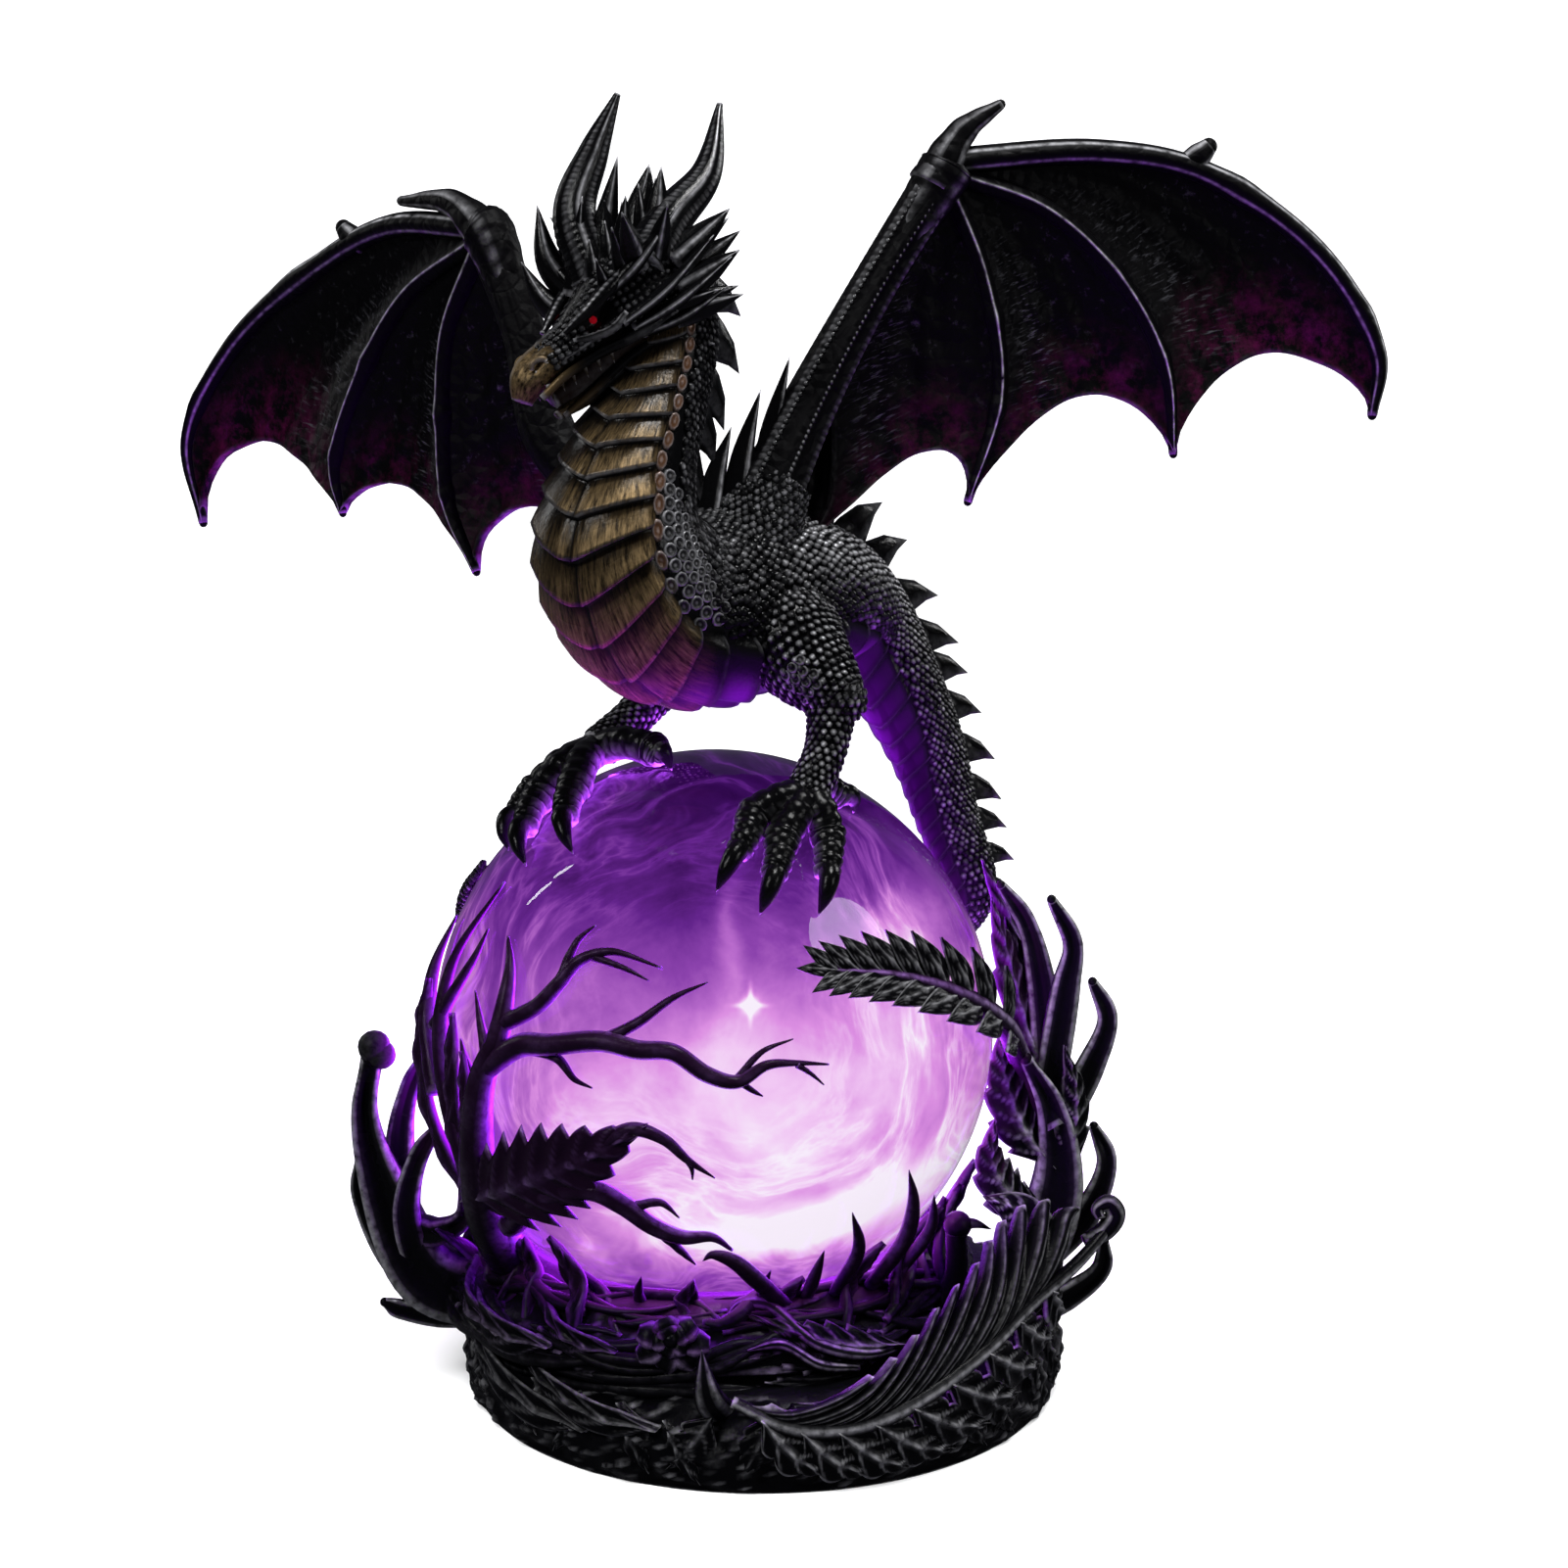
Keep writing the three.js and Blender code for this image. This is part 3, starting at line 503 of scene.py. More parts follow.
def tube(clay, points, radius, rings=24, sides=10, facing=UP, flat=1.0, carve=None, **marks):
    t = np.linspace(0, 1, rings)
    here, _, front, side = sections(points, t, facing)
    reach = np.maximum(eased(radius, t), 0.03)[:, None]
    even = np.linspace(0, 2 * math.pi, sides, endpoint=False)[None]
    turn = even - 0.7 * np.sin(even)
    rise = carve(t[:, None], turn) if carve else 0.0
    deep = (reach * flat + rise) * np.cos(turn)
    wide = (reach + rise) * np.sin(turn)
    skin = here[:, None] + front[:, None] * deep[..., None] + side[:, None] * wide[..., None]
    press_tube(clay, skin, **{n: v(t[:, None], turn) if callable(v) else v for n, v in marks.items()})


sample = Clay()
tube(sample, [(0, 0, 0), (0, 0, 10)], [1, 1], facing=TO_FRONT)
print("a plain tube has", sample.count, "points")


# %% Leaf: a midrib with toothed halves, veins and a slight dome
def leaf(clay, points, half, facing, teeth=0, bite=0.35, thick=1.8, veins=9, slant=0.55,
         rings=40, cup=0.0, lobed=False, silver=1.0):
    t = np.linspace(0, 1, rings)
    v = np.linspace(-1, 1, 15)
    here, tangent, front, side = sections(points, t, facing)
    outline = np.sin(math.pi * (0.1 + 0.9 * t) ** 0.8) * (0.4 + 0.6 * ramp(0, 0.2, t))
    outline = outline[:, None] * half * np.ones_like(v)[None]
    tooth = (t * teeth) % 1
    tooth = np.sin(math.pi * tooth) ** 0.7 if lobed else tooth**0.8
    notch = 1 - bite * np.abs(v)[None] ** 2 * (1 - tooth)[:, None] if teeth else 1.0
    across = outline * notch * v[None]
    ahead = slant * np.abs(across) * np.abs(v)[None] * (1 - t)[:, None]
    dome = np.sqrt(np.maximum(1 - v**2, 0.0))[None] * np.minimum(thick / 2, 0.25 + outline)
    rib = 0.45 * thick * bell(v, 0, 0.13)[None] * (1 - 0.8 * t)[:, None]
    crest = np.cos(2 * math.pi * (t[:, None] * veins - 0.9 * np.abs(v)[None]))
    comb = 0.16 * thick * crest * (1 - v**2)[None]
    bow = cup * (v**2)[None] * outline
    spread = here[:, None] + side[:, None] * across[..., None] + tangent[:, None] * ahead[..., None]
    top = spread + front[:, None] * (dome * 0.7 + rib + comb + bow + 0.1)[..., None]
    under = spread + front[:, None] * (bow - dome * 0.8 - 0.1)[..., None]
    midrib = bell(v, 0, 0.1)[None] * (1 - t)[:, None]
    paint = np.maximum(midrib, 0.55 * ramp(0.8, 1.0, crest) * (1 - v**2)[None])
    rim = (0.95 if lobed else 0.6) * (np.abs(v) > 0.97)[None] * np.ones_like(crest)
    press_sheet(clay, top, under, line=silver * np.maximum(paint, rim))


sample = Clay()
leaf(sample, [(0, 0, 0), (0, 0, 10)], 2.0, TO_FRONT)
print("a plain leaf has", sample.count, "points")


# %% From clay to a Blender piece: the lift mark comes from how far a point stands above its neighbours
def set_mark(mesh, name, values):
    mesh.attributes.new(name, "FLOAT", "POINT").data.foreach_set("value", values)


PROUD_FROM = 0.2


def mark_raised(mesh, gain):
    count = len(mesh.vertices)
    place, normal = np.empty(count * 3), np.empty(count * 3)
    mesh.vertices.foreach_get("co", place)
    mesh.vertices.foreach_get("normal", normal)
    place, normal = place.reshape(-1, 3), normal.reshape(-1, 3)
    ends = np.empty(len(mesh.edges) * 2, int)
    mesh.edges.foreach_get("vertices", ends)
    one, two = ends.reshape(-1, 2).T
    step = place[two] - place[one]
    pull, length = np.zeros((count, 3)), np.zeros(count)
    for here, way in ((one, step), (two, -step)):
        np.add.at(pull, here, way)
        np.add.at(length, here, np.linalg.norm(way, axis=1))
    proud = -np.sum(pull * normal, axis=1) / np.maximum(length, 1e-12)
    set_mark(mesh, "lift", np.clip((proud - PROUD_FROM) * gain, 0, 1))


def paint_glow_towards_ball(piece, depth=9.0):
    """Painted violet glow on what faces the ball, and a painted glow on the brush where it lies low or
    touches the glass.
    """
    mesh = piece.data
    place, normal = np.empty(len(mesh.vertices) * 3), np.empty(len(mesh.vertices) * 3)
    mesh.vertices.foreach_get("co", place)
    mesh.vertices.foreach_get("normal", normal)
    inward = BALL - place.reshape(-1, 3) / MM
    gap = np.linalg.norm(inward, axis=1) - BALL_R
    facing = np.sum(normal.reshape(-1, 3) * unit(inward), axis=1)
    on_glass = ramp(7.0, 4.0, gap)
    painted_glow = np.maximum(ramp(-0.3, 0.7, facing) * ramp(depth, 1.0, gap), 0.08 * on_glass)
    mesh.attributes["dust"].data.foreach_set("value", painted_glow)
    low_down = ramp(17.0, 9.0, gap) * ramp(34.0, 25.0, place[2::3] / MM)
    mesh.attributes["band"].data.foreach_set("value", np.maximum(low_down, 0.8 * on_glass))


def make_piece(name, clay, finish, gain=3.0):
    mesh = bpy.data.meshes.new(name)
    mesh.from_pydata(np.vstack(clay.points) * MM, [], clay.faces)
    mesh.polygons.foreach_set("use_smooth", [True] * len(mesh.polygons))
    for mark_name, values in clay.marks.items():
        set_mark(mesh, mark_name, np.concatenate(values))
    mark_raised(mesh, gain)
    mesh.materials.append(finish)
    made = link_object(name, mesh)
    print(name, "has", sum(len(p.vertices) - 2 for p in mesh.polygons), "triangles")
    return made


print("a point is lifted when it stands proud by more than", PROUD_FROM)

# %% [markdown]
# ## Setting one shape many times
# Scales, spines and leaflets repeat one small shape over a skin. Geometry Nodes does that: each place
# carries which way is out, which way the shape points and how large it is, and the tree
# puts the shape there, makes it real and gives it its finish.


# %% Geometry Nodes tree: set a shape along a skin
def setting_tree():
    inputs = {"Geometry": "Geometry", "Shape": "Object", "Size": "Float", "Finish": "Material"}
    outputs = {"Geometry": "Geometry"}
    tree, given = new_group("Set a shape along a skin", inputs, outputs, "GeometryNodeTree")
    tree.is_modifier = True

    def read(name):
        wanted = {"Name": name}
        return node(tree, "GeometryNodeInputNamedAttribute", wanted, data_type="FLOAT_VECTOR").outputs[0]

    shape = node(tree, "GeometryNodeObjectInfo", {"Object": given["Shape"]}, transform_space="ORIGINAL")
    turn = node(tree, "FunctionNodeAxesToRotation", {0: read("out"), 1: read("along")},
                primary_axis="Z", secondary_axis="Y")
    grow = node(tree, "ShaderNodeVectorMath", {0: read("size"), "Scale": given["Size"]}, operation="SCALE")
    placed = node(tree, "GeometryNodeInstanceOnPoints", {
        "Points": given["Geometry"], "Instance": shape.outputs["Geometry"],
        "Rotation": turn.outputs[0], "Scale": grow.outputs[0]})
    real = node(tree, "GeometryNodeRealizeInstances", {"Geometry": placed.outputs[0]})
    smooth = node(tree, "GeometryNodeSetShadeSmooth", {"Geometry": real.outputs[0]})
    dress = {"Geometry": smooth.outputs[0], "Material": given["Finish"]}
    dressed = node(tree, "GeometryNodeSetMaterial", dress)
    node(tree, "NodeGroupOutput", {"Geometry": dressed.outputs[0]})
    return tree


SETTING = setting_tree()
print("tree", SETTING.name, [s.name for s in SETTING.interface.items_tree])


# %% Places for the shapes
PLACE_WAYS = ("out", "along", "size")
PLACE_MARKS = ("gold", "flesh", "shade")


class Places:
    def __init__(self):
        self.rows = {name: [] for name in ("at", *PLACE_WAYS, *PLACE_MARKS)}

    def add(self, at, out, along, size, **marks):
        at = np.atleast_2d(at)
        for name, value in (("at", at), ("out", out), ("along", along), ("size", size)):
            self.rows[name].append(np.broadcast_to(value, at.shape))
        for name in PLACE_MARKS:
            self.rows[name].append(np.broadcast_to(marks.get(name, 0.0), len(at)))

    def all(self, name):
        return np.concatenate(self.rows[name])


print("a place carries", PLACE_WAYS, "and may carry", PLACE_MARKS)


# %% Run the tree over a set of places
def set_shapes(name, places, shape, finish, gain=2.0):
    mesh = bpy.data.meshes.new(name)
    mesh.from_pydata(places.all("at") * MM, [], [])
    for label in PLACE_WAYS:
        layer = mesh.attributes.new(label, "FLOAT_VECTOR", "POINT")
        layer.data.foreach_set("vector", places.all(label).ravel())
    for label in PLACE_MARKS:
        set_mark(mesh, label, places.all(label))
    holder = link_object(name + "_places", mesh)
    modifier = holder.modifiers.new("setting", "NODES")
    modifier.node_group = SETTING
    sockets = {s.name: s.identifier for s in SETTING.interface.items_tree if s.in_out == "INPUT"}
    modifier[sockets["Shape"]] = shape
    modifier[sockets["Size"]] = MM
    modifier[sockets["Finish"]] = finish
    depsgraph = bpy.context.evaluated_depsgraph_get()
    made_mesh = bpy.data.meshes.new_from_object(holder.evaluated_get(depsgraph))
    made_mesh.name = name
    holder.modifiers.remove(modifier)
    bpy.data.objects.remove(holder)
    for label in PLACE_WAYS:
        made_mesh.attributes.remove(made_mesh.attributes[label])
    mark_raised(made_mesh, gain)
    triangles = sum(len(p.vertices) - 2 for p in made_mesh.polygons)
    print(name, len(places.all("at")), "shapes,", triangles, "triangles")
    return link_object(name, made_mesh)


print("shapes are set by", SETTING.name)


# %% The little shapes: a shield, a ring and a spine
def oval(sides, width, tail, head, height, shift=0.0):
    turn = np.linspace(0, 2 * math.pi, sides, endpoint=False)
    y = np.where(np.sin(turn) > 0, np.sin(turn) * tail, np.sin(turn) * head)
    return np.stack([np.cos(turn) * width, y + shift, np.full(sides, height)], 1)


def hidden_shape(name, points, faces, line):
    mesh = bpy.data.meshes.new(name)
    mesh.from_pydata(points, [], faces)
    set_mark(mesh, "line", line)
    made = link_object(name, mesh)
    made.hide_render = made.hide_viewport = True
    return made


def small_shape(name, sides, ovals, top, paint):
    """A little mound of ovals, one above the other, closed by one top point and a flat foot."""
    rings = [oval(sides, *row) for row in ovals]
    clay = Clay()
    points = np.vstack([np.reshape(rings, (-1, 3)), [top]])
    turn = np.arange(sides)
    beside = (turn + 1) % sides
    peak = len(rings) * sides
    high = (len(rings) - 1) * sides
    lid = np.stack([np.full(sides, peak), high + turn, high + beside], 1)
    clay.press(points, [lattice(len(rings), sides, True), lid, [turn[::-1]]])
    silvered = np.r_[np.concatenate([np.broadcast_to(value, sides) for value in paint[:-1]]), paint[-1]]
    return hidden_shape(name, points, clay.faces, silvered)


# Shields are brushed silver at the peak, rings on the rim and a dot in the middle; this also stands in for
# the glints they catch, so it is partly a painted highlight.
SHIELD_OVALS = [(0.54, 0.74, 0.5, -0.16), (0.43, 0.57, 0.38, 0.1, 0.03), (0.17, 0.23, 0.17, 0.2, 0.14)]
SHIELD = small_shape("shield_scale", 6, SHIELD_OVALS, (0, 0.2, 0.24), (0, 0.0, 0.38, 1.0))
PEBBLE_OVALS = [(0.55, 0.6, 0.52, -0.16), (0.46, 0.5, 0.44, 0.14), (0.33, 0.36, 0.32, 0.1),
                (0.2, 0.22, 0.2, 0.03)]
PEBBLE = small_shape("pebble_scale", 9, PEBBLE_OVALS, (0, 0, 0.12), (0, 0.6, 0.12, 0, 0.35))
KEELS = np.array([0.0, 0.16, 0.0, 0.16, 0.0, 0.0, 0.05, 0.0])
FIN_OVALS = [(0.34, 0.5, 0.5, -0.1), (0.27, 0.4, 0.4, 0.3, 0.1), (0.15, 0.24, 0.26, 0.68, 0.28)]
FIN = small_shape("back_spine", 8, FIN_OVALS, (0, 0.62, 1.0), (0.2 * KEELS, KEELS, KEELS, 0.5))
print("shapes", SHIELD.name, PEBBLE.name, FIN.name)

# %% [markdown]
# ## The dragon's trunk
# One line runs from the throat over chest and rump to the tip of the tail, which lies round the ball.
# The belly side carries broad gold plates: each rises to a lip that hangs over the next, and the lips point
# down in the middle. The rings of the mesh are laid along the plates, so every lip is a crisp edge.

# %% Directions and the points of the trunk
HEADING, HEAD_YAW, HEAD_PITCH = (math.radians(a) for a in (45, 63, 29.5))


def level(yaw):
    return np.array([-math.sin(yaw), -math.cos(yaw), 0.0])


FORWARD = level(HEADING)
LEFT = np.cross(UP, FORWARD)


def on_body(forward, left, up):
    return FORWARD * forward + LEFT * left + UP * up


def on_ball(around, above, lift):
    a, b = math.radians(around), math.radians(above)
    way = np.array([math.cos(b) * math.sin(a), -math.cos(b) * math.cos(a), math.sin(b)])
    return BALL + way * (BALL_R + lift)


TRUNK = [  # forward, up, half width, reach to the belly, reach to the back
    (17.8, 161, 5, 4.8, 4.8), (16.8, 152, 5.8, 5.6, 6.4), (20, 143, 6.8, 6.6, 7.4),
    (24.5, 133.5, 8.8, 8.4, 8.4), (26, 124.5, 11.2, 11.4, 9.8), (20.5, 117, 12.2, 13.4, 11),
    (10.5, 115, 12.4, 14, 12.5), (-1, 115, 11.6, 12, 11.5), (-11.5, 114, 9.8, 9.6, 9.5),
    (-19.5, 109.5, 8, 7.6, 7.6),
]
TAIL_ROUND = [  # degrees round and above the ball, lift, radius
    (112, 23.5, 4.1, 3.8), (128, 11, 3.4, 3.1), (155, 4, 3, 2.7), (188, 1, 2.6, 2.3),
    (220, 3, 2.2, 1.9), (243, 12, 1.8, 1.5), (256, 25, 1.3, 1.0), (261, 36, 0.8, 0.3),
]
TAIL = [((19, 15, 101), 6.6), ((24, 16, 90.5), 5.5), ((27.2, 15, 80), 4.5)]
TAIL += [(on_ball(*place), radius) for *place, radius in TAIL_ROUND]
SPINE = np.array([on_body(s, 0, z) for s, z, *_ in TRUNK] + [p for p, _ in TAIL])
HALF_WIDTH, BELLY, BACK = ([row[k] for row in TRUNK] + [r for _, r in TAIL] for k in (2, 3, 4))
LAST = len(SPINE) - 1


def plumb_way(here, t, lean=0.0):
    turned_in = np.radians(lean * np.ones_like(t))[:, None]
    low = unit(FORWARD - UP) * np.cos(turned_in) + LEFT * np.sin(turned_in)
    inward = unit(BALL - here)
    w = ramp(9.5 / LAST, 12.5 / LAST, t)[:, None]
    return low * (1 - w) + inward * w


def belly_way(here, t):
    return plumb_way(here, t, 4.0 + 8.0 * ramp(2.6, 4.6, t * LAST))


print("trunk through", len(SPINE), "points")

# %% Tables along the trunk: place, axes, radii and the running count of plates
t_fine = np.linspace(0, 1, 3001)
AXES = ("here", "tangent", "front", "side")
RADII = ("wide", "belly", "back")
fine = dict(zip(AXES, sections(SPINE, t_fine, belly_way)))
fine.update(zip(RADII, (eased(v, t_fine)[:, None] for v in (HALF_WIDTH, BELLY, BACK))))
stride = np.linalg.norm(np.diff(fine["here"], axis=0), axis=1)
run_fine = np.r_[0, np.cumsum(stride)]
belly_line = fine["here"] + fine["front"] * fine["belly"]
belly_stride = np.maximum(np.linalg.norm(np.diff(belly_line, axis=0), axis=1), 0.7 * stride)
pitch = np.maximum(0.47 * fine["belly"][:, 0] + 0.5, 2.4)
plate_fine = np.r_[0, np.cumsum(belly_stride / pitch[1:])]


def along_trunk(place, scale, name):
    table = fine[name]
    return np.stack([np.interp(place, scale, table[:, k]) for k in range(table.shape[1])], -1)


print("trunk is", round(run_fine[-1]), "mm long with", int(plate_fine[-1]), "plates")

# %% Trunk skin with its belly plates
PLATE_EDGE = math.radians(56)
LIP = 1.25
body = Clay()


def trunk_skin():
    belly = np.linspace(-math.radians(64), math.radians(64), 31)
    back = np.linspace(math.radians(64), 2 * math.pi - math.radians(64), 28)[1:-1]
    turn = np.r_[belly, back]
    away = from_front(turn)
    steps = np.array([0.0, 0.1, 0.3, 0.5, 0.7, 0.86, 0.97])
    plate = (np.arange(int(plate_fine[-1]))[:, None] + steps[None]).ravel()
    share = np.tile(steps, int(plate_fine[-1]))[:, None]
    sag = 0.85 * np.minimum(away / PLATE_EDGE, 1.15) ** 1.15
    at = np.clip(plate[:, None] - sag[None], 0, plate_fine[-1])
    index = np.interp(at, plate_fine, t_fine) * LAST
    on_plate = ramp(1.04, 0.97, away / PLATE_EDGE)[None]
    crease = 0.75 * bell(away, 0, math.radians(3.4))[None] * ramp(1.5, 3.5, index) * ramp(10, 8, index)
    bevel = 0.25 * bell(away, PLATE_EDGE * 0.9, math.radians(4))[None]
    size = np.clip(np.interp(at, plate_fine, pitch) / 6, 0.35, 1.1) * (1 - 0.4 * ramp(8, 10, index))
    rise = on_plate * size * (LIP * share**1.2 + bevel - crease) - 0.12 * (1 - on_plate)
    here, front, side = (along_trunk(at, plate_fine, name) for name in ("here", "front", "side"))
    wide, low, high = (along_trunk(at, plate_fine, name)[..., 0] for name in RADII)
    deep = np.where(np.cos(turn)[None] > 0, low, high) + rise
    skin = here + front * (deep * np.cos(turn))[..., None]
    skin = skin + side * ((wide + rise) * np.sin(turn))[..., None]
    seam = 1 - bell(away, 0, math.radians(2.6))[None] * ramp(1.5, 3.5, index)
    outward = front * np.cos(turn)[None, :, None] + side * np.sin(turn)[None, :, None]
    # The violet here is the ball's glow, painted on: where the belly faces down and along the tail's
    # underside, strongest in a band that faces the front, a painted sheen. Where the plates face down the
    # gold gives way to it.
    under = ramp(0.5, 0.88, -outward[..., 2]) * ramp(4.5, 6.0, index) * ramp(8.2, 6.8, index)
    tail = ramp(8.2, 9.6, index) * ramp(1.0, 0.8, away / PLATE_EDGE)[None]
    seen = outward @ unit([0.0, -1.0, 0.17])
    sheen_band = 0.1 + 0.9 * bell(seen, 0.5, 0.3)
    violet_glow_paint = on_plate * np.maximum(0.17 * under, 0.3 * tail) * sheen_band
    violet_glow_paint = violet_glow_paint * ramp(0.0, 0.45, share) * ramp(0.97, 0.7, share)
    fore = ramp(-5.5, -10.0, skin[..., 0])
    gilt = on_plate * fore * ramp(6.7, 5.8, index) * ramp(-0.05, 0.85, share) * ramp(0.2, 0.9, index) * seam
    gilt = gilt * (1 - 0.7 * under) * (1 - 0.78 * ramp(4.3, 5.5, index))
    gilt = gilt * (1 - 0.62 * ramp(3.7, 2.0, index)) * ramp(1.0, 0.9, share)
    # The gold fades on the far half of the neck plates, a painted shade.
    shaded_far_half = ramp(0.02, 0.34, np.where(turn < math.pi, turn, 0))[None] * ramp(4.9, 3.4, index)
    gilt = gilt * (1 - 0.88 * shaded_far_half) * (1 - violet_glow_paint)
    shade = on_plate * (0.97 - 0.4 * fore * ramp(4.4, 3.4, index))
    streak = np.broadcast_to(turn * 26, skin.shape[:2])
    press_tube(body, skin, gold=gilt, dust=violet_glow_paint, shade=shade, streak=streak, band=at * 1.6)
    return skin


print("trunk lattice", trunk_skin().shape)

# %% [markdown]
# ## Scales on the trunk
# Beside the chest plates the scales are rings with a dimple, and on the neck a column of long ones is
# touched with copper. The rest of the trunk has small shields that overlap like roof tiles. On the rump,
# where they face up, they are brushed brighter, a painted highlight, and on the flank, where they face
# down, they are kept dark, a painted shade. Rows are laid round the trunk, each shifted half a scale from
# the last, and every scale strays a little, as if it had been set by hand.

# %% Ring scales in columns beside the plates
shields, small_shields, pebbles = Places(), Places(), Places()
RINGS_END = 5.2
RING_COLUMNS = [  # width, height, distance from the plates, pitch
    (1.8, 2.2, 0.9, 2.75), (2.0, 2.0, 2.5, 1.75), (1.8, 1.8, 4.1, 1.6), (1.55, 1.55, 5.5, 1.4),
    (1.4, 1.4, 6.75, 1.3),
]


def on_trunk(at, turn):
    here, tangent, front, side = (along_trunk(at, run_fine, name) for name in AXES)
    wide, low, high = (along_trunk(at, run_fine, name)[:, 0] for name in RADII)
    deep = np.where(np.cos(turn) > 0, low, high)
    spot = here + front * (deep * np.cos(turn))[:, None] + side * (wide * np.sin(turn))[:, None]
    out = unit(front * (np.cos(turn) / deep)[:, None] + side * (np.sin(turn) / wide)[:, None])
    return spot, out, tangent


def ring_room(index, girth):
    room = 1.9 + 2.9 * float(ramp(6.2, 9.5, girth)) + 2.6 * float(ramp(9.9, 11.2, girth))
    return float(ramp(RINGS_END + 0.4, RINGS_END - 0.8, index)) * room


def ring_columns():
    first, last = (np.interp(k / LAST, t_fine, run_fine) for k in (0.7, RINGS_END))
    for hand in (1, -1):
        for column, (wide, tall, offset, pitch) in enumerate(RING_COLUMNS):
            at = np.arange(first + 0.5 * pitch * (column % 2), last, pitch)
            index = np.interp(at, run_fine, t_fine) * LAST
            girth = np.interp(at, run_fine, fine["wide"][:, 0])
            keep = (column == 0) | (girth > 7.8 + 0.8 * column)
            at, index, girth = at[keep], index[keep], girth[keep]
            spot, out, tangent = on_trunk(at, hand * (PLATE_EDGE + offset / girth))
            grow = 0.78 + 0.22 * ramp(5, 11, girth)
            neck = (column == 0) * ramp(4.6, 3.8, index)
            # Rings that face down are kept dark, a painted shade.
            shade = np.maximum(0.85 * ramp(0.0, -0.5, out[:, 2]) * ramp(4.0, 5.0, index), 0.35 * neck)
            size = np.stack([wide * grow, tall * grow * (1 + 0.35 * neck), 1.7 * grow], 1)
            lean = unit(out - 0.12 * tangent)
            pebbles.add(spot, lean, tangent, size, gold=0.3 * neck, flesh=0.5 * neck, shade=shade)


ring_columns()
print("ring scales", len(pebbles.all("at")))


# %% Small overlapping scales over the rest of the trunk
def trunk_rows():
    rng = np.random.default_rng(17)
    at, row = 6.0, 0
    while at < run_fine[-1] - 2:
        index = np.interp(at, run_fine, t_fine) * LAST
        girth = np.interp(at, run_fine, fine["wide"][:, 0])
        size = float(np.clip(0.075 * girth + 0.5, 0.95, 1.35))
        bare = PLATE_EDGE + (0.42 * size + ring_room(index, girth)) / girth
        count = max(6, int(round((2 * math.pi - 2 * bare) * girth / size)))
        turn = np.linspace(bare, 2 * math.pi - bare, count + 1)
        turn = turn[:-1] + (turn[1] - turn[0]) / 2 if row % 2 else turn
        astray = rng.uniform(-0.15, 0.15, (2, len(turn))) * size
        spot, out, tangent = on_trunk(at + astray[0], turn + astray[1] / girth)
        near = np.minimum(turn, 2 * math.pi - turn) - bare
        swell = 1.14 - 0.16 * ramp(0, 0.8, near)
        # Scales that face down on the flank are kept dark, a painted shade; on the rump, where they face up,
        # they are brushed brighter, a painted highlight.
        shade = ramp(0.42, 0.0, out[:, 2]) * ramp(4.0, 5.0, index) * ramp(9.0, 7.5, index)
        rump = ramp(0.05, 0.6, out[:, 2]) * ramp(6.0, 7.6, index) * ramp(11.0, 9.0, index)
        flecks_and_highlight = 0.36 + 1.2 * rump + 0.35 * ramp(9.5, 10.5, index)
        shade = np.maximum(shade, rng.uniform(0.0, 1.0, len(turn)) ** flecks_and_highlight) - 0.75 * rump
        swell = swell * rng.uniform(0.88, 1.12, len(turn))
        target = shields if index < 8.6 else small_shields
        grown = (size * swell * 1.06)[:, None] * np.ones(3)
        target.add(spot, unit(out - 0.3 * tangent), tangent, grown, shade=shade)
        at += size * 0.84
        row += 1
    return row


print("scale rows", trunk_rows())


# %% Scale rows round a limb
def limb_rows(target, points, radius, facing, size, start=0.05, end=0.95, tilt=0.2):
    rng = np.random.default_rng(29)
    t = np.linspace(0, 1, 200)
    here, tangent, front, side = sections(points, t, facing)
    run = np.r_[0, np.cumsum(np.linalg.norm(np.diff(here, axis=0), axis=1))]
    at, row = start * run[-1], 0
    while at < end * run[-1]:
        place = np.interp(at, run, t)
        k = int(place * 199)
        reach = float(np.maximum(eased(radius, [place])[0], 0.3))
        grain = size[0] + (size[1] - size[0]) * place
        count = max(5, int(round(2 * math.pi * reach / grain)))
        turn = (np.arange(count) + 0.5 * (row % 2) + rng.uniform(-0.13, 0.13, count)) * 2 * math.pi / count
        out = front[k] * np.cos(turn)[:, None] + side[k] * np.sin(turn)[:, None]
        spot = here[k] + front[k] * (reach * np.cos(turn))[:, None]
        spot = spot + side[k] * (reach * np.sin(turn))[:, None]
        spot = spot + tangent[k] * grain * rng.uniform(-0.15, 0.15, (count, 1))
        grown = grain * rng.uniform(0.95, 1.2, (count, 1)) * np.ones(3)
        along = np.broadcast_to(tangent[k], out.shape)
        target.add(spot, unit(out - tilt * tangent[k]), along, grown, shade=rng.uniform(-0.3, 1.0, count))
        at += grain * 0.84
        row += 1


sample = Places()
limb_rows(sample, [(0, 0, 0), (0, 0, 10)], [3, 2], TO_FRONT, (1.2, 1.0))
print("a short limb takes", len(sample.all("at")), "scales")

# %% [markdown]
# ## Legs and feet
# Two stout legs stand on the ball. Thigh, hock and shin are tapering tubes covered with scales, with a few
# rings at the knee. The toes are ridged across like a bird's, and each ends in a long curved claw that is
# polished black. Tubes are used because every row of scales then finds its place along one line.

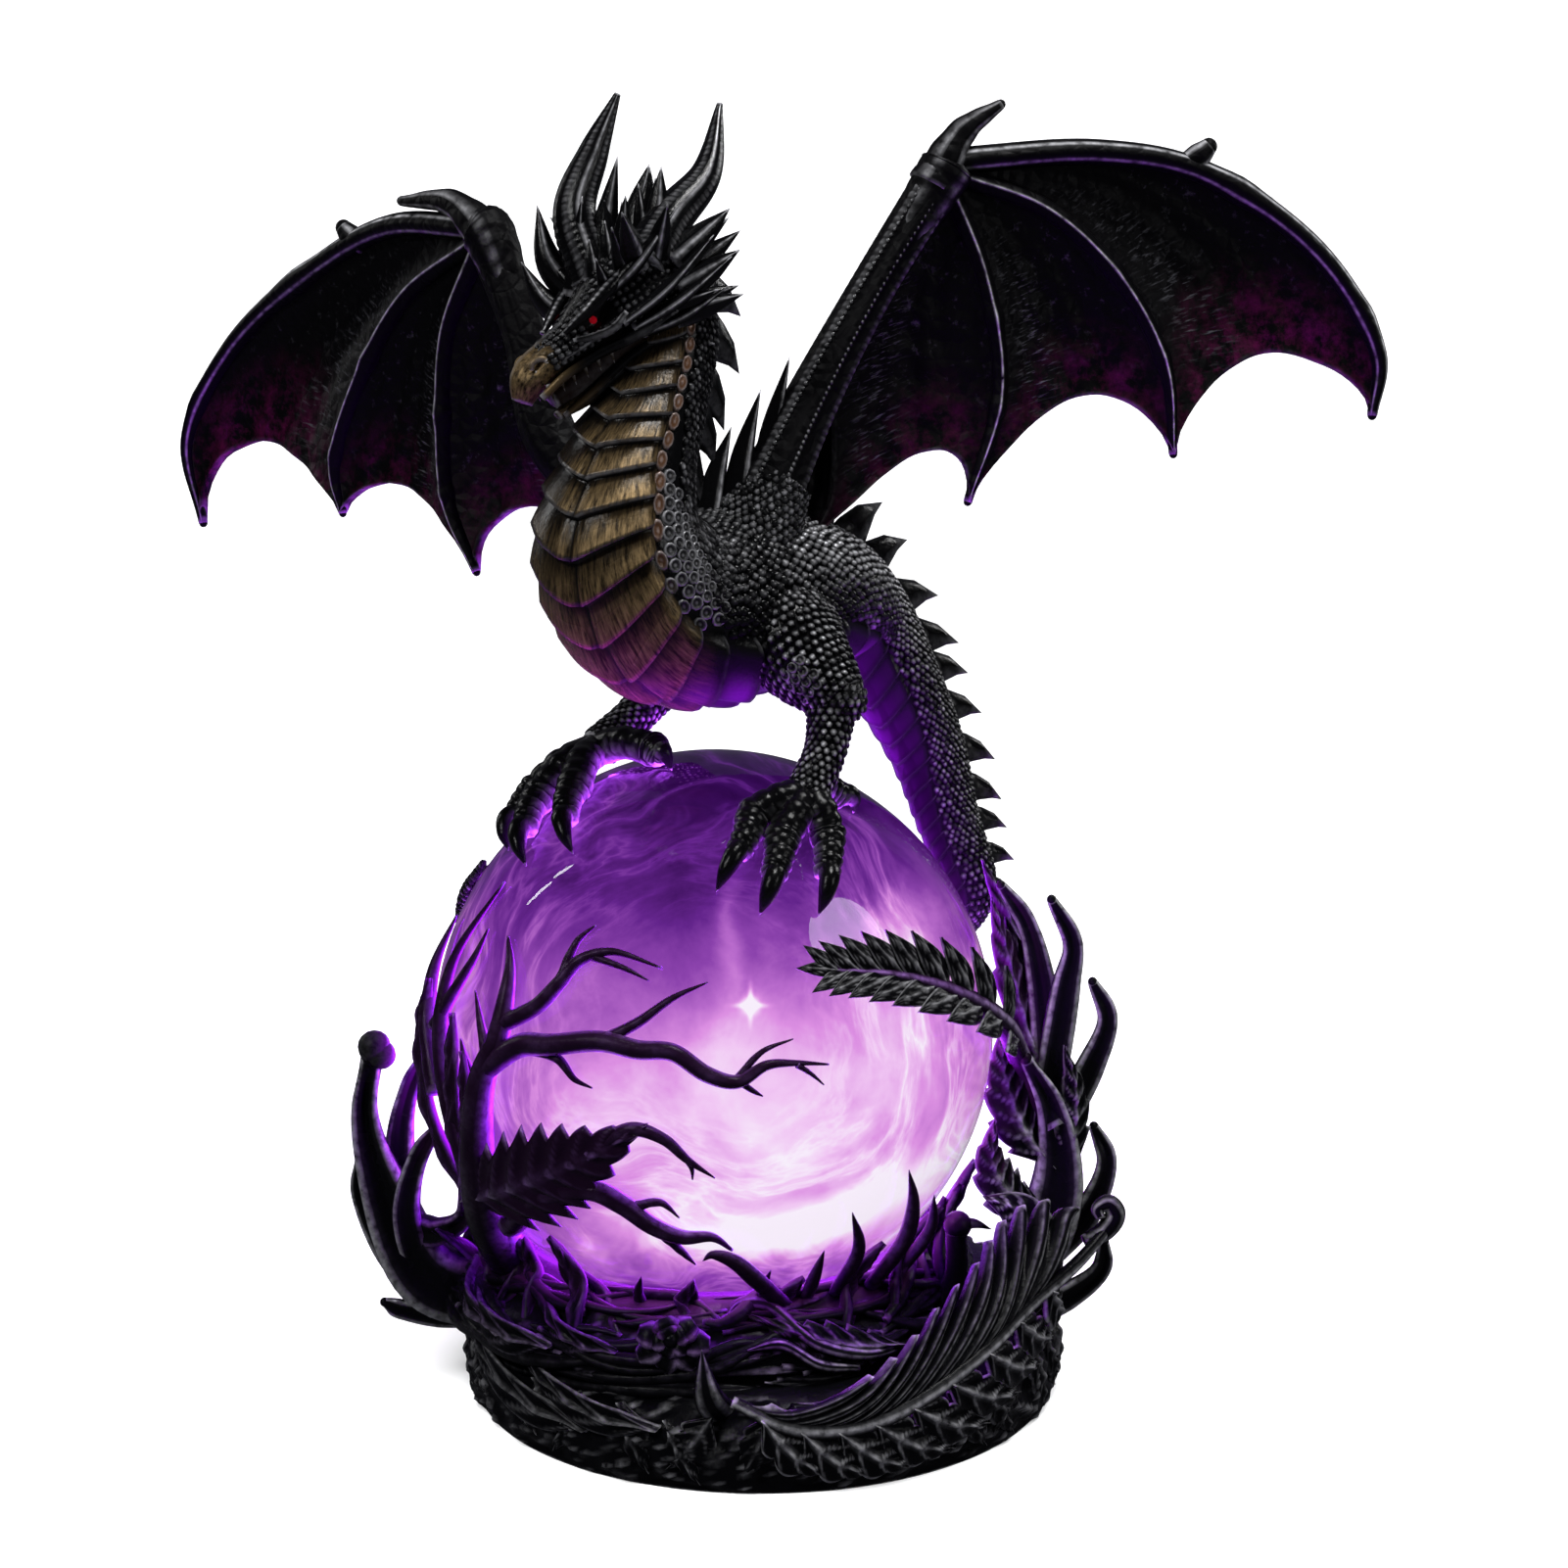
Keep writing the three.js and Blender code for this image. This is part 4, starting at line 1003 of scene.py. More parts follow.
# %% The points of the legs and toes
LEGS = [
    ([on_body(4, 6.5, 114), on_body(3.6, 18.6, 102.5), on_ball(34, 58, 4)],
     [((15, 56), (2, 41)), ((21, 50), (12, 36)), ((35, 50), (26, 35)), ((48, 61), (60, 56))]),
    ([on_body(6, -8.5, 113), on_body(3.4, -15.5, 102), on_ball(-92, 68, 3.6)],
     [((-90, 54), (-74, 43)), ((-77, 55), (-57, 42)), ((-62, 60), (-42, 47)), ((-52, 76), (-32, 75))]),
]


print("legs:", len(LEGS), "with", len(LEGS[0][1]), "toes each")


# %% Beads, and feet with ridged toes and claws
def off_ball(here, t):
    return unit(here - BALL)


def bead(clay, middle, radius, **marks):
    turn = np.linspace(0, 2 * math.pi, 14, endpoint=False)
    rise = np.linspace(-1.45, 1.45, 9)
    skin = np.stack([np.cos(rise)[:, None] * np.cos(turn), np.cos(rise)[:, None] * np.sin(turn),
                     np.sin(rise)[:, None] * np.ones_like(turn)], -1)
    press_tube(clay, np.asarray(middle) + radius * skin, **marks)


def foot(ankle, toes):
    for knuckle, tip in toes:
        def over(share, lift):
            return on_ball(*(k + (p - k) * share for k, p in zip(knuckle, tip)), lift)

        instep = (ankle + over(0, 3.4)) / 2 + 0.6 * unit(ankle - BALL)
        toe = [ankle, instep, over(0, 2.7), over(0.3, 2.5), over(0.55, 1.9)]

        def scutes(t, turn):
            ridge = np.abs(np.sin(math.pi * t * 9)) ** 0.6 - 0.5
            knob = 0.35 * bell(t, 0.52, 0.09)
            return (0.3 * ridge * (np.cos(turn) > -0.2) + knob) * ramp(0.1, 0.25, t)

        tube(body, toe, [2.5, 2.4, 2.2, 2.0, 1.75], 37, 14, off_ball, carve=scutes)
        claw = [over(0.4, 2.0), over(0.62, 2.9), over(0.84, 2.1), over(1.0, 0.35)]
        tube(body, claw, [1.5, 1.5, 1.0, 0.06], 16, 12, off_ball)


sample = Clay()
bead(sample, (0, 0, 0), 1.0)
print("a bead has", sample.count, "points")

# %% Legs with their scales
THIGH_R = [4.8, 7.0, 6.0, 3.6]
HOCK_R = [0.9, 3.0, 3.5, 3.0, 0.9]
SHIN_R = [3.6, 2.7, 2.9]


def thigh_line(hip, hock):
    return [hip, hip + 0.45 * (hock - hip) + 1.5 * FORWARD, hock]


def leg(hip, hock, ankle, toes):
    thigh = thigh_line(hip, hock)
    shin = [hock + 0.12 * (hip - hock), hock + 0.5 * (ankle - hock) - 0.6 * FORWARD, ankle]
    tube(body, thigh, THIGH_R, 22, 20, FORWARD)
    tube(body, shin, SHIN_R, 14, 16, FORWARD)
    knob = [hock + 3.3 * UP, hock - 3.3 * UP]
    tube(body, knob, HOCK_R, 18, 16, FORWARD)
    limb_rows(small_shields, knob, HOCK_R, FORWARD, (1.15, 1.15), 0.08, 0.92, 0.0)
    limb_rows(small_shields, thigh, THIGH_R, FORWARD, (1.3, 1.15), 0.06, 1.0, 0.2)
    limb_rows(small_shields, shin, SHIN_R, FORWARD, (1.2, 1.0), 0.1, 0.98, 0.25)
    foot(ankle, toes)


def knee_rings(hip, hock):
    seen_from = (-0.05, -1.0, 0.0)
    for row, t in enumerate(np.linspace(0.68, 0.86, 4)):
        here, tangent, front, side = (x[0] for x in sections(thigh_line(hip, hock), [t], seen_from))
        reach = eased(THIGH_R, [t])[0] + 0.12
        lean = (np.arange(3) - 0.2 + 0.5 * (row % 2)) * 1.5 / reach
        out = front * np.cos(lean)[:, None] + side * np.sin(lean)[:, None]
        along = np.broadcast_to(tangent, out.shape)
        pebbles.add(here + out * reach, out, along, np.full((3, 3), 1.5), shade=0.35)


for joints, toes in LEGS:
    leg(*joints, toes)
knee_rings(*LEGS[0][0][:2])
print("legs done, clay has", body.count, "points")

# %% [markdown]
# ## Head
# The skull is a lofted wedge with a hooked, gilded beak, heavy brows over small red eyes, an open jaw with
# teeth, two long ringed horns and a frill of spikes round the cheeks. All of it follows the head's own axes:
# forward along the snout, left, and up.

# %% Head axes and the skull
HEAD_BACK = np.array([-11.4, -12, 157.7])
HEAD_LEFT = np.cross(UP, level(HEAD_YAW))
SNOUT = level(HEAD_YAW) * math.cos(HEAD_PITCH) - UP * math.sin(HEAD_PITCH)
CROWN = np.cross(SNOUT, HEAD_LEFT)


def on_head(forward, left, up):
    return HEAD_BACK + SNOUT * forward + HEAD_LEFT * left + CROWN * up


SKULL = [  # forward, half width, crown, depth
    (-4, 3.6, 3.4, 4), (1, 5.6, 6.8, 4.6), (6, 6.2, 8.2, 4.2), (10, 6, 7, 3), (13.5, 5.6, 5.2, 2),
    (17, 4.3, 3.4, 1.6), (21, 3.7, 2.7, 1.7), (24.5, 2.9, 1.9, 2.8), (26.8, 0.9, -1.2, 3.9),
]


def skull():
    points = [on_head(s, 0, (top - low) / 2) for s, _, top, low in SKULL]
    t = np.linspace(0, 1, 72)
    turn = np.linspace(0, 2 * math.pi, 44, endpoint=False)[None]
    here, _, front, side = sections(points, t, CROWN)
    deep = np.maximum(eased([(top + low) / 2 for _, _, top, low in SKULL], t), 0.3)[:, None]
    wide = np.maximum(eased([row[1] for row in SKULL], t), 0.25)[:, None]
    s = eased([row[0] for row in SKULL], t)[:, None]
    a = from_front(turn)

    def dent(forward, angle, long, broad, depth):
        along = ((s - forward) / long) ** 2
        round_it = ((a - math.radians(angle)) / math.radians(broad)) ** 2
        return depth * np.exp(-along - round_it)

    rise = dent(14.2, 66, 2.4, 16, -1.2) + dent(23.4, 52, 1.2, 16, -0.9) + dent(21.6, 45, 1.6, 18, 0.6)
    rise = rise + dent(20, 0, 8, 9, 0.5) + dent(7, 96, 4, 20, 0.3) + dent(16.5, 100, 6, 10, 0.6)
    skin = here[:, None] + front[:, None] * ((deep + rise) * np.cos(turn))[..., None]
    skin = skin + side[:, None] * ((wide + rise) * np.sin(turn))[..., None]
    gilt = ramp(19.5, 23.5, s) * np.ones_like(turn) * 0.85
    press_tube(body, skin, gold=gilt, streak=np.broadcast_to(turn * 4, gilt.shape), band=s * 1.2 + 0 * turn)


def growing(start, end, strength=1.0):
    def painted(t, turn):
        return strength * ramp(start, end, t) + 0 * turn

    return painted


skull()
jaw = [on_head(4, 0, -3.2), on_head(13, 0, -4.8), on_head(19, 0, -6.1), on_head(23.4, 0, -6.5)]
tube(body, jaw, [4.2, 3.3, 2.5, 1.1], 40, 20, CROWN, 0.55, gold=growing(0.55, 0.9, 0.45),
     streak=lambda t, turn: turn * 4 + 0 * t, band=lambda t, turn: t * 20 + 0 * turn)
mouth = [on_head(6, 0, -2.6), on_head(14, 0, -2.8), on_head(19, 0, -3.4), on_head(23.2, 0, -4.0)]
tube(body, mouth, [3.6, 3.2, 2.6, 1.7], 30, 16, CROWN, 0.95, flesh=0.07)
print("skull, jaw and mouth")


# %% Brows, lips, nostrils, eyes and teeth
def head_line(hand, points, radius, rings=18, sides=8, **marks):
    points = [on_head(forward, hand * left, up) for forward, left, up in points]
    tube(body, points, radius, rings, sides, CROWN, **marks)


def beads_along(count, at=0.0, spread=0.3, strength=1.0):
    def painted(t, turn):
        away = from_front(turn)
        pearls = 0.55 + 0.45 * np.sin(2 * math.pi * count * t) if count else 1.0 + 0 * t
        return strength * (bell(away, at, spread) * pearls)

    return painted


for hand in (1, -1):
    brow = [(6.5, 5.4, 6.4), (11, 6.1, 5.6), (14.8, 5.6, 4.3), (18.6, 3.7, 3.0)]
    head_line(hand, brow, [0.8, 1.0, 0.9, 0.35], 60, 18, line=beads_along(15, 0.75, 0.16))
    lid = [(10.4, 6.0, 1.6), (12.8, 5.9, 0.7), (15.4, 5.1, 0.9), (18, 4.1, 1.7)]
    head_line(hand, lid, [0.5, 0.6, 0.55, 0.3], line=beads_along(0, 0.0, 0.3))
    lip = [(4, 5.6, -1.6), (10, 5.9, -1.7), (16, 4.6, -1.5), (21, 3.8, -1.7), (25, 2.6, -2.8)]
    head_line(hand, lip, [0.9, 0.8, 0.6, 0.6, 0.5], gold=growing(0.6, 0.95))
    lower_lip = [(5, 4.0, -4.2), (12, 3.6, -4.2), (18, 2.7, -5.6), (23, 1.3, -6.7)]
    head_line(hand, lower_lip, [0.7, 0.6, 0.55, 0.4], gold=growing(0.5, 0.9, 0.8))
    nostril = [(23.3 + 1.1 * math.cos(a), 2.75 - 0.25 * math.cos(a), 1.0 + 0.85 * math.sin(a))
               for a in np.linspace(0, 5.6, 8)]
    head_line(hand, nostril, [0.35, 0.42, 0.42, 0.3], 24, 8, gold=0.9)
    bead(body, on_head(14.5, 4.75 * hand, 2.75), 0.5, eye=1.0)
    for i, s in enumerate((14.2, 16.2, 18.1, 19.9, 21.6, 23.4)):
        half = 4.8 - (s - 12) * 0.19
        tooth = [(s, half, -1.6), (s + 0.25, half - 0.1, -3.6 - 0.6 * (i == 5))]
        head_line(hand, tooth, [0.42, 0.02], 5, 6, gold=0.25)
    for s in (15.4, 17.4, 19.3, 21.2):
        half, sink = 3.2 - (s - 15) * 0.2, (s - 15) * 0.12
        head_line(hand, [(s, half, -5.2 - sink), (s, half, -3.5 - sink)], [0.4, 0.02], 5, 6, gold=0.25)
print("face done, clay has", body.count, "points")


# %% Horns, and a spike for what follows
def horn(points, radius, rings_cut, rings=85, sides=28, facing=(0.25, -1.0, 0.2)):
    def ribs(t, turn):
        away = from_front(turn)
        keel = 0.28 * bell(away, 0, 0.35) - 0.16 * bell(away, 0.8, 0.3)
        return (0.09 * np.sin(2 * math.pi * rings_cut * t) * ramp(0.42, 0.2, t) + keel) * (1 - t)

    def drawn(t, turn):
        keel_line = beads_along(0, 0.0, 0.07, 0.8)(t, turn)
        return np.maximum(keel_line, beads_along(rings_cut, 0.6, 0.1, 0.5)(t, turn))

    tube(body, points, radius, rings, sides, facing, carve=ribs, line=drawn)


def spike(clay, foot, tip, radius, facing, bend=0.12, flat=0.6):
    foot, tip = np.asarray(foot, float), np.asarray(tip, float)
    length = np.linalg.norm(tip - foot)
    middle = foot + 0.5 * (tip - foot) - np.asarray(facing) * bend * length

    def keel(t, turn):
        away = from_front(turn)
        return (0.2 * bell(away, 0, 0.4) - 0.1 * bell(away, 0.9, 0.3)) * radius * (1 - t)

    tube(clay, [foot, middle, tip], [radius, radius * 0.72, 0.05], 14, 16, facing, flat, carve=keel,
         line=beads_along(0, 0.0, 0.1))


near_horn = [on_head(4.5, 3.4, 5), (-12, -14, 166), (-7.4, -9.5, 172), (-5.6, -4.5, 181.4)]
horn(near_horn, [3.4, 3.0, 2.1, 0.45], 30)
far_horn = [on_head(8.5, -4, 5), (-24.8, -11, 167), (-22.4, -9.5, 174.5), (-19.1, -8, 182.5)]
horn(far_horn, [3.4, 2.9, 2.1, 0.45], 30)
print("horns, clay has", body.count, "points")

# %% The frill of spikes, and whiskers along the cheeks
FRILL = [  # foot and tip as forward, left, up; foot radius
    ((5.5, 4.4, 6), (7, 12, 14), 2.4), ((10.5, 3.2, 3), (11.5, 8.0, 10), 1.5),
    ((1, 4.6, 3.4), (-9, 6.5, 6), 2.6), ((2, 4.8, 0), (-7, 8, 1), 2.4),
    ((4, 4.6, -2.4), (-4.5, 8.2, -4.2), 2.2), ((7.5, 3.4, -4), (1, 5, -8.5), 1.7),
    ((1, 1.6, 5.6), (-5, 1.8, 14.5), 2.2), ((7.5, 3.6, 4), (8, 9.0, 12.5), 1.7),
    ((3, 4.8, 5), (0, 10, 11.5), 1.9), ((-1, 4.2, 1.5), (-9.5, 5.2, 2.5), 1.8),
    ((5.5, 4.8, -1), (-1.5, 8.4, -1.8), 1.5), ((6, 2, 7), (2, 3.4, 14), 1.7),
]
for hand in (1, -1):
    for foot_at, tip_at, radius in FRILL:
        ends = [on_head(s, w * hand, u) for s, w, u in (foot_at, tip_at)]
        spike(body, *ends, radius, unit(CROWN * 0.5 + HEAD_LEFT * hand), 0.02)
SEEN = (0.2, -1.0, 0.15)
TUFT = [  # foot, tip and foot radius
    ((-24.8, -13, 156), (-23.5, -14.8, 168.9), 1.7), ((-22.4, -12.5, 156), (-18.9, -12.8, 174.2), 2.5),
    ((-17, -11, 164), (-14.9, -10, 173.3), 2.3), ((-21, -12, 163), (-19.4, -12, 171), 1.8),
    ((-14, -15.5, 158), (-4.3, -13.5, 166.2), 2.6), ((-13, -16, 154), (-3, -14, 157.4), 2.3),
]
FAR_CHEEK = [  # a bent line and its radii
    ([(-21.5, -10.5, 154), (-28, -10.5, 160), (-29.9, -10, 168)], [2.6, 2.0, 0.05]),
    ([(-21.5, -12, 151), (-28.5, -12, 155), (-31.9, -12, 160.5)], [2.4, 1.7, 0.05]),
]
WHISKERS = [  # foot, middle and tip as forward, left, up; radius
    ((11.5, 5.9, 0.6), (5, 7.2, 1.6), (-4.5, 8.2, 4.5), 0.9),
    ((10.5, 5.6, -0.8), (4, 6.9, -0.6), (-5.5, 8, 0.8), 0.9),
    ((9.5, 5.2, -2.2), (3.5, 6.4, -2.8), (-3.5, 7.4, -2.4), 0.8),
    ((12, 5.4, 4.8), (6.5, 6.6, 6.4), (-2, 7.4, 10), 1.1),
]
for foot_at, tip_at, radius in TUFT:
    spike(body, foot_at, tip_at, radius, SEEN, 0.02)
for line, radius in FAR_CHEEK:
    tube(body, line, radius, 20, 16, SEEN, line=beads_along(0, 0.0, 0.1))
for s, tall in ((10, 3.6), (7.4, 4.6), (4.6, 5.6), (1.8, 6.4), (-1, 6)):
    spike(body, on_head(s, 0, 6.2), on_head(s - 0.55 * tall, 0, 7.4 + tall), 1.5, HEAD_LEFT, 0.0)
for hand in (1, -1):
    for *line, radius in WHISKERS:
        points = [on_head(a, b * hand, c) for a, b, c in line]
        swell = [radius * 0.7, radius, 0.06]
        tube(body, points, swell, 22, 12, HEAD_LEFT * hand, line=beads_along(0, 0.0, 0.15))
print("frill, clay has", body.count, "points")


# %% Small scales over the skull
def skull_scales():
    rng = np.random.default_rng(4)
    for s in np.arange(-1.5, 22, 1.05):
        place = (np.interp(s, [r[0] for r in SKULL], np.arange(len(SKULL)))) / (len(SKULL) - 1)
        top, low = (np.interp(s, [r[0] for r in SKULL], [r[k] for r in SKULL]) for k in (2, 3))
        wide = np.interp(s, [r[0] for r in SKULL], [r[1] for r in SKULL])
        deep = (top + low) / 2
        count = int(math.radians(230) * wide / 1.15)
        turn = math.radians(-115) + (np.arange(count) + rng.uniform(0.3, 0.7)) * math.radians(230) / count
        for a in turn:
            if abs(s - 14.0) < 2.2 and 0.7 < abs(a) < 1.6:
                continue
            at = on_head(s, wide * math.sin(a), (top - low) / 2 + deep * math.cos(a))
            out = unit(HEAD_LEFT * math.sin(a) / wide + CROWN * math.cos(a) / deep)
            shade = 0.55 + 0.4 * rng.uniform()
            size = np.full(3, 0.9 + 0.3 * place)
            small_shields.add(at + 0.2 * out, unit(out + 0.2 * SNOUT), -SNOUT, size, shade=shade)


skull_scales()
print("scales so far", len(pebbles.all("at")), "rings and", len(shields.all("at")), "shields")

# %% [markdown]
# ## Wings
# Each wing hangs from three long fingers and the arm. The skin between them is a thin sheet that billows back
# and is scalloped at the free edge. It is built as a fine lattice between neighbouring fingers, with folds
# that fan out from the wrist, and the fingers lie over it as ridged tubes with blunt ends. The fine crinkles
# beside each finger are left to the finish, which draws them from marks, since the lattice is too coarse.

# %% The wings' bones
WINGS = [
    dict(plane=(1.8, 0.205), arm=[(-1, -5, 125), (6.5, -0.5, 141), (15.2, 3.5, 157), (25.5, 7, 173.5)],
         thumb=[(23.5, 6.2, 171), (27.6, 7, 178.3), (33.1, 8.7, 182.3)],
         spur=[(59, 13.9, 174.3), (61.5, 14.3, 175.6), (63.0, 14.5, 176.9)],
         fingers=[[(26, 174.5), (47, 176), (62, 173.5), (80, 162), (89.3, 147.5), (88.7, 139)],
                  [(26, 173), (40, 168), (51, 158), (57.5, 146), (59, 133.7)],
                  [(25.5, 172), (31, 159), (33.5, 143), (29.1, 127.3)]],
         edge=[(25.5, 7, 173), (15.2, 3.5, 157), (10, 2.5, 143), (9, 2, 127), (5, 0, 121)],
         web=[(25, 6.6, 172), (14, 3, 155.5), (6, 0.5, 140), (1, -2, 128), (1, -3, 119)]),
    dict(plane=(-24.7, -0.954), arm=[(-13, 1, 122), (-29.5, 5.5, 136), (-33.5, 8.5, 151), (-39, 12.7, 165)],
         thumb=[(-38, 12, 163.5), (-44, 17, 169), (-52.8, 25.7, 169.8)],
         spur=[(-59.5, 32.6, 163.4), (-61.5, 33.8, 164.9), (-62.7, 34.4, 166.2)],
         fingers=[[(-40, 165.5), (-54, 166.3), (-66, 161.5), (-84, 148.5), (-93.5, 133), (-91.2, 120)],
                  [(-40, 164), (-52, 156.5), (-60, 145), (-65.4, 131), (-64.4, 123.5)],
                  [(-40, 163), (-45.5, 151), (-46.7, 137), (-46, 126.5), (-41.7, 116.6)]],
         edge=[(-39, 13, 164), (-33.5, 8.5, 151), (-29, 6, 137), (-22, 5, 125), (-12, 4, 117)],
         web=[(-38.5, 12.5, 163), (-32.5, 8, 150), (-27, 5, 136), (-17, 3, 124), (-9, 3, 118)]),
]
print("wings:", len(WINGS), "with", len(WINGS[0]["fingers"]), "fingers each")

# %% Panels of skin between neighbouring fingers
SCALLOPS = (0.24, 0.235, 0.26)
PLUM = (1.0, 0.6, 0.5)
BILLOW, SKIN_THICK = 3.0, 0.9
wings = Clay()


def wing_panel(one, two, scallop, back, seed, plum):
    u, v = np.meshgrid(np.linspace(0, 1, 60), np.linspace(0, 1, 27), indexing="ij")
    hump = 4 * v * (1 - v)
    reach = 0.03 + u * (0.97 - scallop * hump**0.7)
    near, far = (route(line, reach.ravel()).reshape(*u.shape, 3) for line in (one, two))
    fan = np.sin(2 * math.pi * (v * 4.5 + 0.22 * np.sin(5 * reach + seed))) * ramp(0.1, 0.5, reach)
    cross = np.sin(2 * math.pi * (reach * 9 + 0.35 * np.sin(7 * v + seed) + 0.5 * v))
    cross = cross * hump * ramp(0.15, 0.4, reach)
    fold = BILLOW * hump * np.sin(0.75 * math.pi * reach) + hump**0.5 * (0.24 * fan + 0.16 * cross)
    hem = 0.35 * ramp(0.965, 1.0, u)
    middle = near + (far - near) * v[..., None] + back * fold[..., None]
    top = middle - back * (SKIN_THICK / 2 + hem)[..., None]
    under = middle + back * (SKIN_THICK / 2 + hem)[..., None]
    dust = plum * ramp(0.66, 1.0, u) * (0.3 + 0.7 * hump)
    facing_out = np.sum(np.cross(top[0, 1] - top[0, 0], top[1, 0] - top[0, 0]) * -back) > 0
    sheets = (top, under) if facing_out else (under, top)
    # The grey flecks sit where the skin billows out: speckle, and partly a painted highlight on the folds.
    flecks_and_highlight = ramp(0.05, 0.3, reach) * ramp(1.0, 0.55, u) * (0.25 + 0.75 * hump)
    beside = bell(v, 0.72, 0.13) * ramp(0.15, 0.4, reach) * ramp(1.0, 0.85, u)
    press_sheet(wings, *sheets, dust=dust, band=flecks_and_highlight, gold=beside, streak=130 * reach, flesh=9 * v)


print("panels billow by", BILLOW, "mm and are scalloped by", SCALLOPS)

# %% Fingers, arm, thumb and spur laid over the panels
LEAD_R = [1.9, 1.75, 1.6, 1.4, 0.75]
FINGER_R = [1.5, 1.3, 1.2, 1.1, 0.65]
ARM_R = [5, 3.8, 3.1, 3.3]


def wing(plane, arm, thumb, spur, fingers, edge, web):
    back = unit(np.array([-plane[1], 1, 0]))
    near_arm = plane[0] > 0
    lines = [[(x, plane[0] + plane[1] * x, z) for x, z in finger] for finger in fingers] + [edge]
    for k in range(3):
        wing_panel(lines[k], lines[k + 1], SCALLOPS[k], back, 1.7 * k, PLUM[k])
    wing_panel(edge, web, 0.0, back, 5.0, 0.3)

    def ridge(t, turn):
        away = from_front(turn)
        joint = 0.35 * bell(t, 0.46, 0.03) + 0.25 * bell(t, 0.72, 0.025)
        return (0.3 * bell(away, 0, 0.35) + joint) * ramp(1, 0.85, t)

    def two_lines(t, turn):
        lower = np.sin(turn) * (1 if near_arm else -1) > 0
        return beads_along(0, 0.62, 0.1)(t, turn) * np.where(lower, 0.3, 0.9)

    for k, line in enumerate(lines[:3]):
        drawn = two_lines if k == 0 else beads_along(0, 0.0, 0.07)
        tube(wings, line, FINGER_R if k else LEAD_R, 60, 24, -back, carve=ridge, line=drawn)
        bead(wings, line[-1], 0.7 if k == 0 else 0.6)

    def sinews(t, turn):
        away = from_front(turn)
        cords = (0.22 if near_arm else 0.12) * np.cos(7 * turn) * ramp(0.0, 0.2, t)
        creases = 0.06 * near_arm * np.sin(2 * math.pi * 46 * t) * bell(away, 1.1, 0.5)
        return cords + creases

    def wrist_folds(t, turn):
        return 0.05 * np.sin(60 * t + np.cos(turn))

    studded = beads_along(46, 0.9, 0.12, 0.3 * near_arm)
    tube(wings, arm, ARM_R, 150, 42, -back, carve=sinews, line=studded)
    wrist = [lines[0][0], arm[3], arm[2]]
    drawn = beads_along(12, 0.6, 0.16, 0.3)
    tube(wings, wrist, [2.6, 3.9, 2.0], 60, 24, -back, carve=wrist_folds, line=drawn)
    tube(wings, thumb, [3.6, 2.5, 1.6, 0.75], 26, 20, -back, line=beads_along(0, 0.7, 0.12),
         carve=lambda t, turn: 0.14 * np.sin(26 * t) * (1 - t) + 0 * turn)
    bead(wings, thumb[-1], 0.7)
    tube(wings, spur, [1.2, 1.8, 1.3], 14, 16, -back, line=beads_along(0, 0.8, 0.15))
    bead(wings, spur[-1], 1.25)
    studs = np.linspace(0.06, 0.5, 30)
    here, tangent, front, side = sections(lines[0], studs, -back)
    rise = unit(np.cross(tangent, back) * np.sign(np.cross(tangent, back)[:, 2:3]))
    pebbles.add(here + rise * 1.5, rise, tangent, np.linspace(1.3, 0.9, 30)[:, None] * np.ones(3))
    row = np.linspace(0.04, 0.96, 60)
    here, tangent, front, side = sections(arm, row, -back)
    reach = eased(ARM_R, row)[:, None]
    for lean in (0.1, -0.75) if near_arm else ():
        out = front * math.cos(lean) + side * math.sin(lean)
        size = np.linspace(1.05, 0.8, 60)[:, None] * np.ones(3)
        shields.add(here + out * reach, out, tangent, size, shade=0.4)


for bones in WINGS:
    wing(**bones)
print("wings, clay has", wings.count, "points")

# %% Long spines that lean along the near arm, and the fins down the back
SHOULDER = [
    ((-7.5, -8, 126), (-4.2, -5, 138.5), 2.4), ((-4, -6, 126), (-0.2, -3, 143.5), 2.6),
    ((0, -4, 128), (3.8, -1, 148), 2.6), ((-1.5, -6.5, 126), (0.5, -5.5, 135), 1.7),
    ((3, -3.5, 130), (6, -2.5, 139), 1.5),
]
shoulder = [(-7, -9, 117.5), (-2, -6, 123), (2.6, -3.2, 131)]
SHOULDER_R = [5.6, 6.6, 4.2]
SHOULDER_WAY = (0.2, -1.0, 0.2)
tube(body, shoulder, SHOULDER_R, 20, 20, SHOULDER_WAY)
limb_rows(shields, shoulder, SHOULDER_R, SHOULDER_WAY, (1.25, 1.1), 0.25, 1.0, 0.2)
for foot_at, tip_at, radius in SHOULDER:
    spike(body, foot_at, tip_at, radius, LEFT, 0.04)
fins = Places()
neck = [(place, 7.4) for place in np.linspace(0.5, 3.9, 8)]
rump = [(place, 9.2 - 0.48 * i) for i, place in enumerate(np.linspace(7.2, 13.6, 14))]
fade = [(place, 1.9 - 0.12 * i) for i, place in enumerate(np.linspace(13.9, 19, 13))]
for place, tall in neck + rump + fade:
    here, tangent, front, side = (x[0] for x in sections(SPINE, [place / LAST], plumb_way))
    foot_at = here - front * eased(BACK, [place / LAST])[0] * 0.96
    fins.add(foot_at, unit(-front + 0.1 * tangent), tangent, np.array([[tall * 0.75, tall, tall]]))
print("fins", len(fins.all("at")))


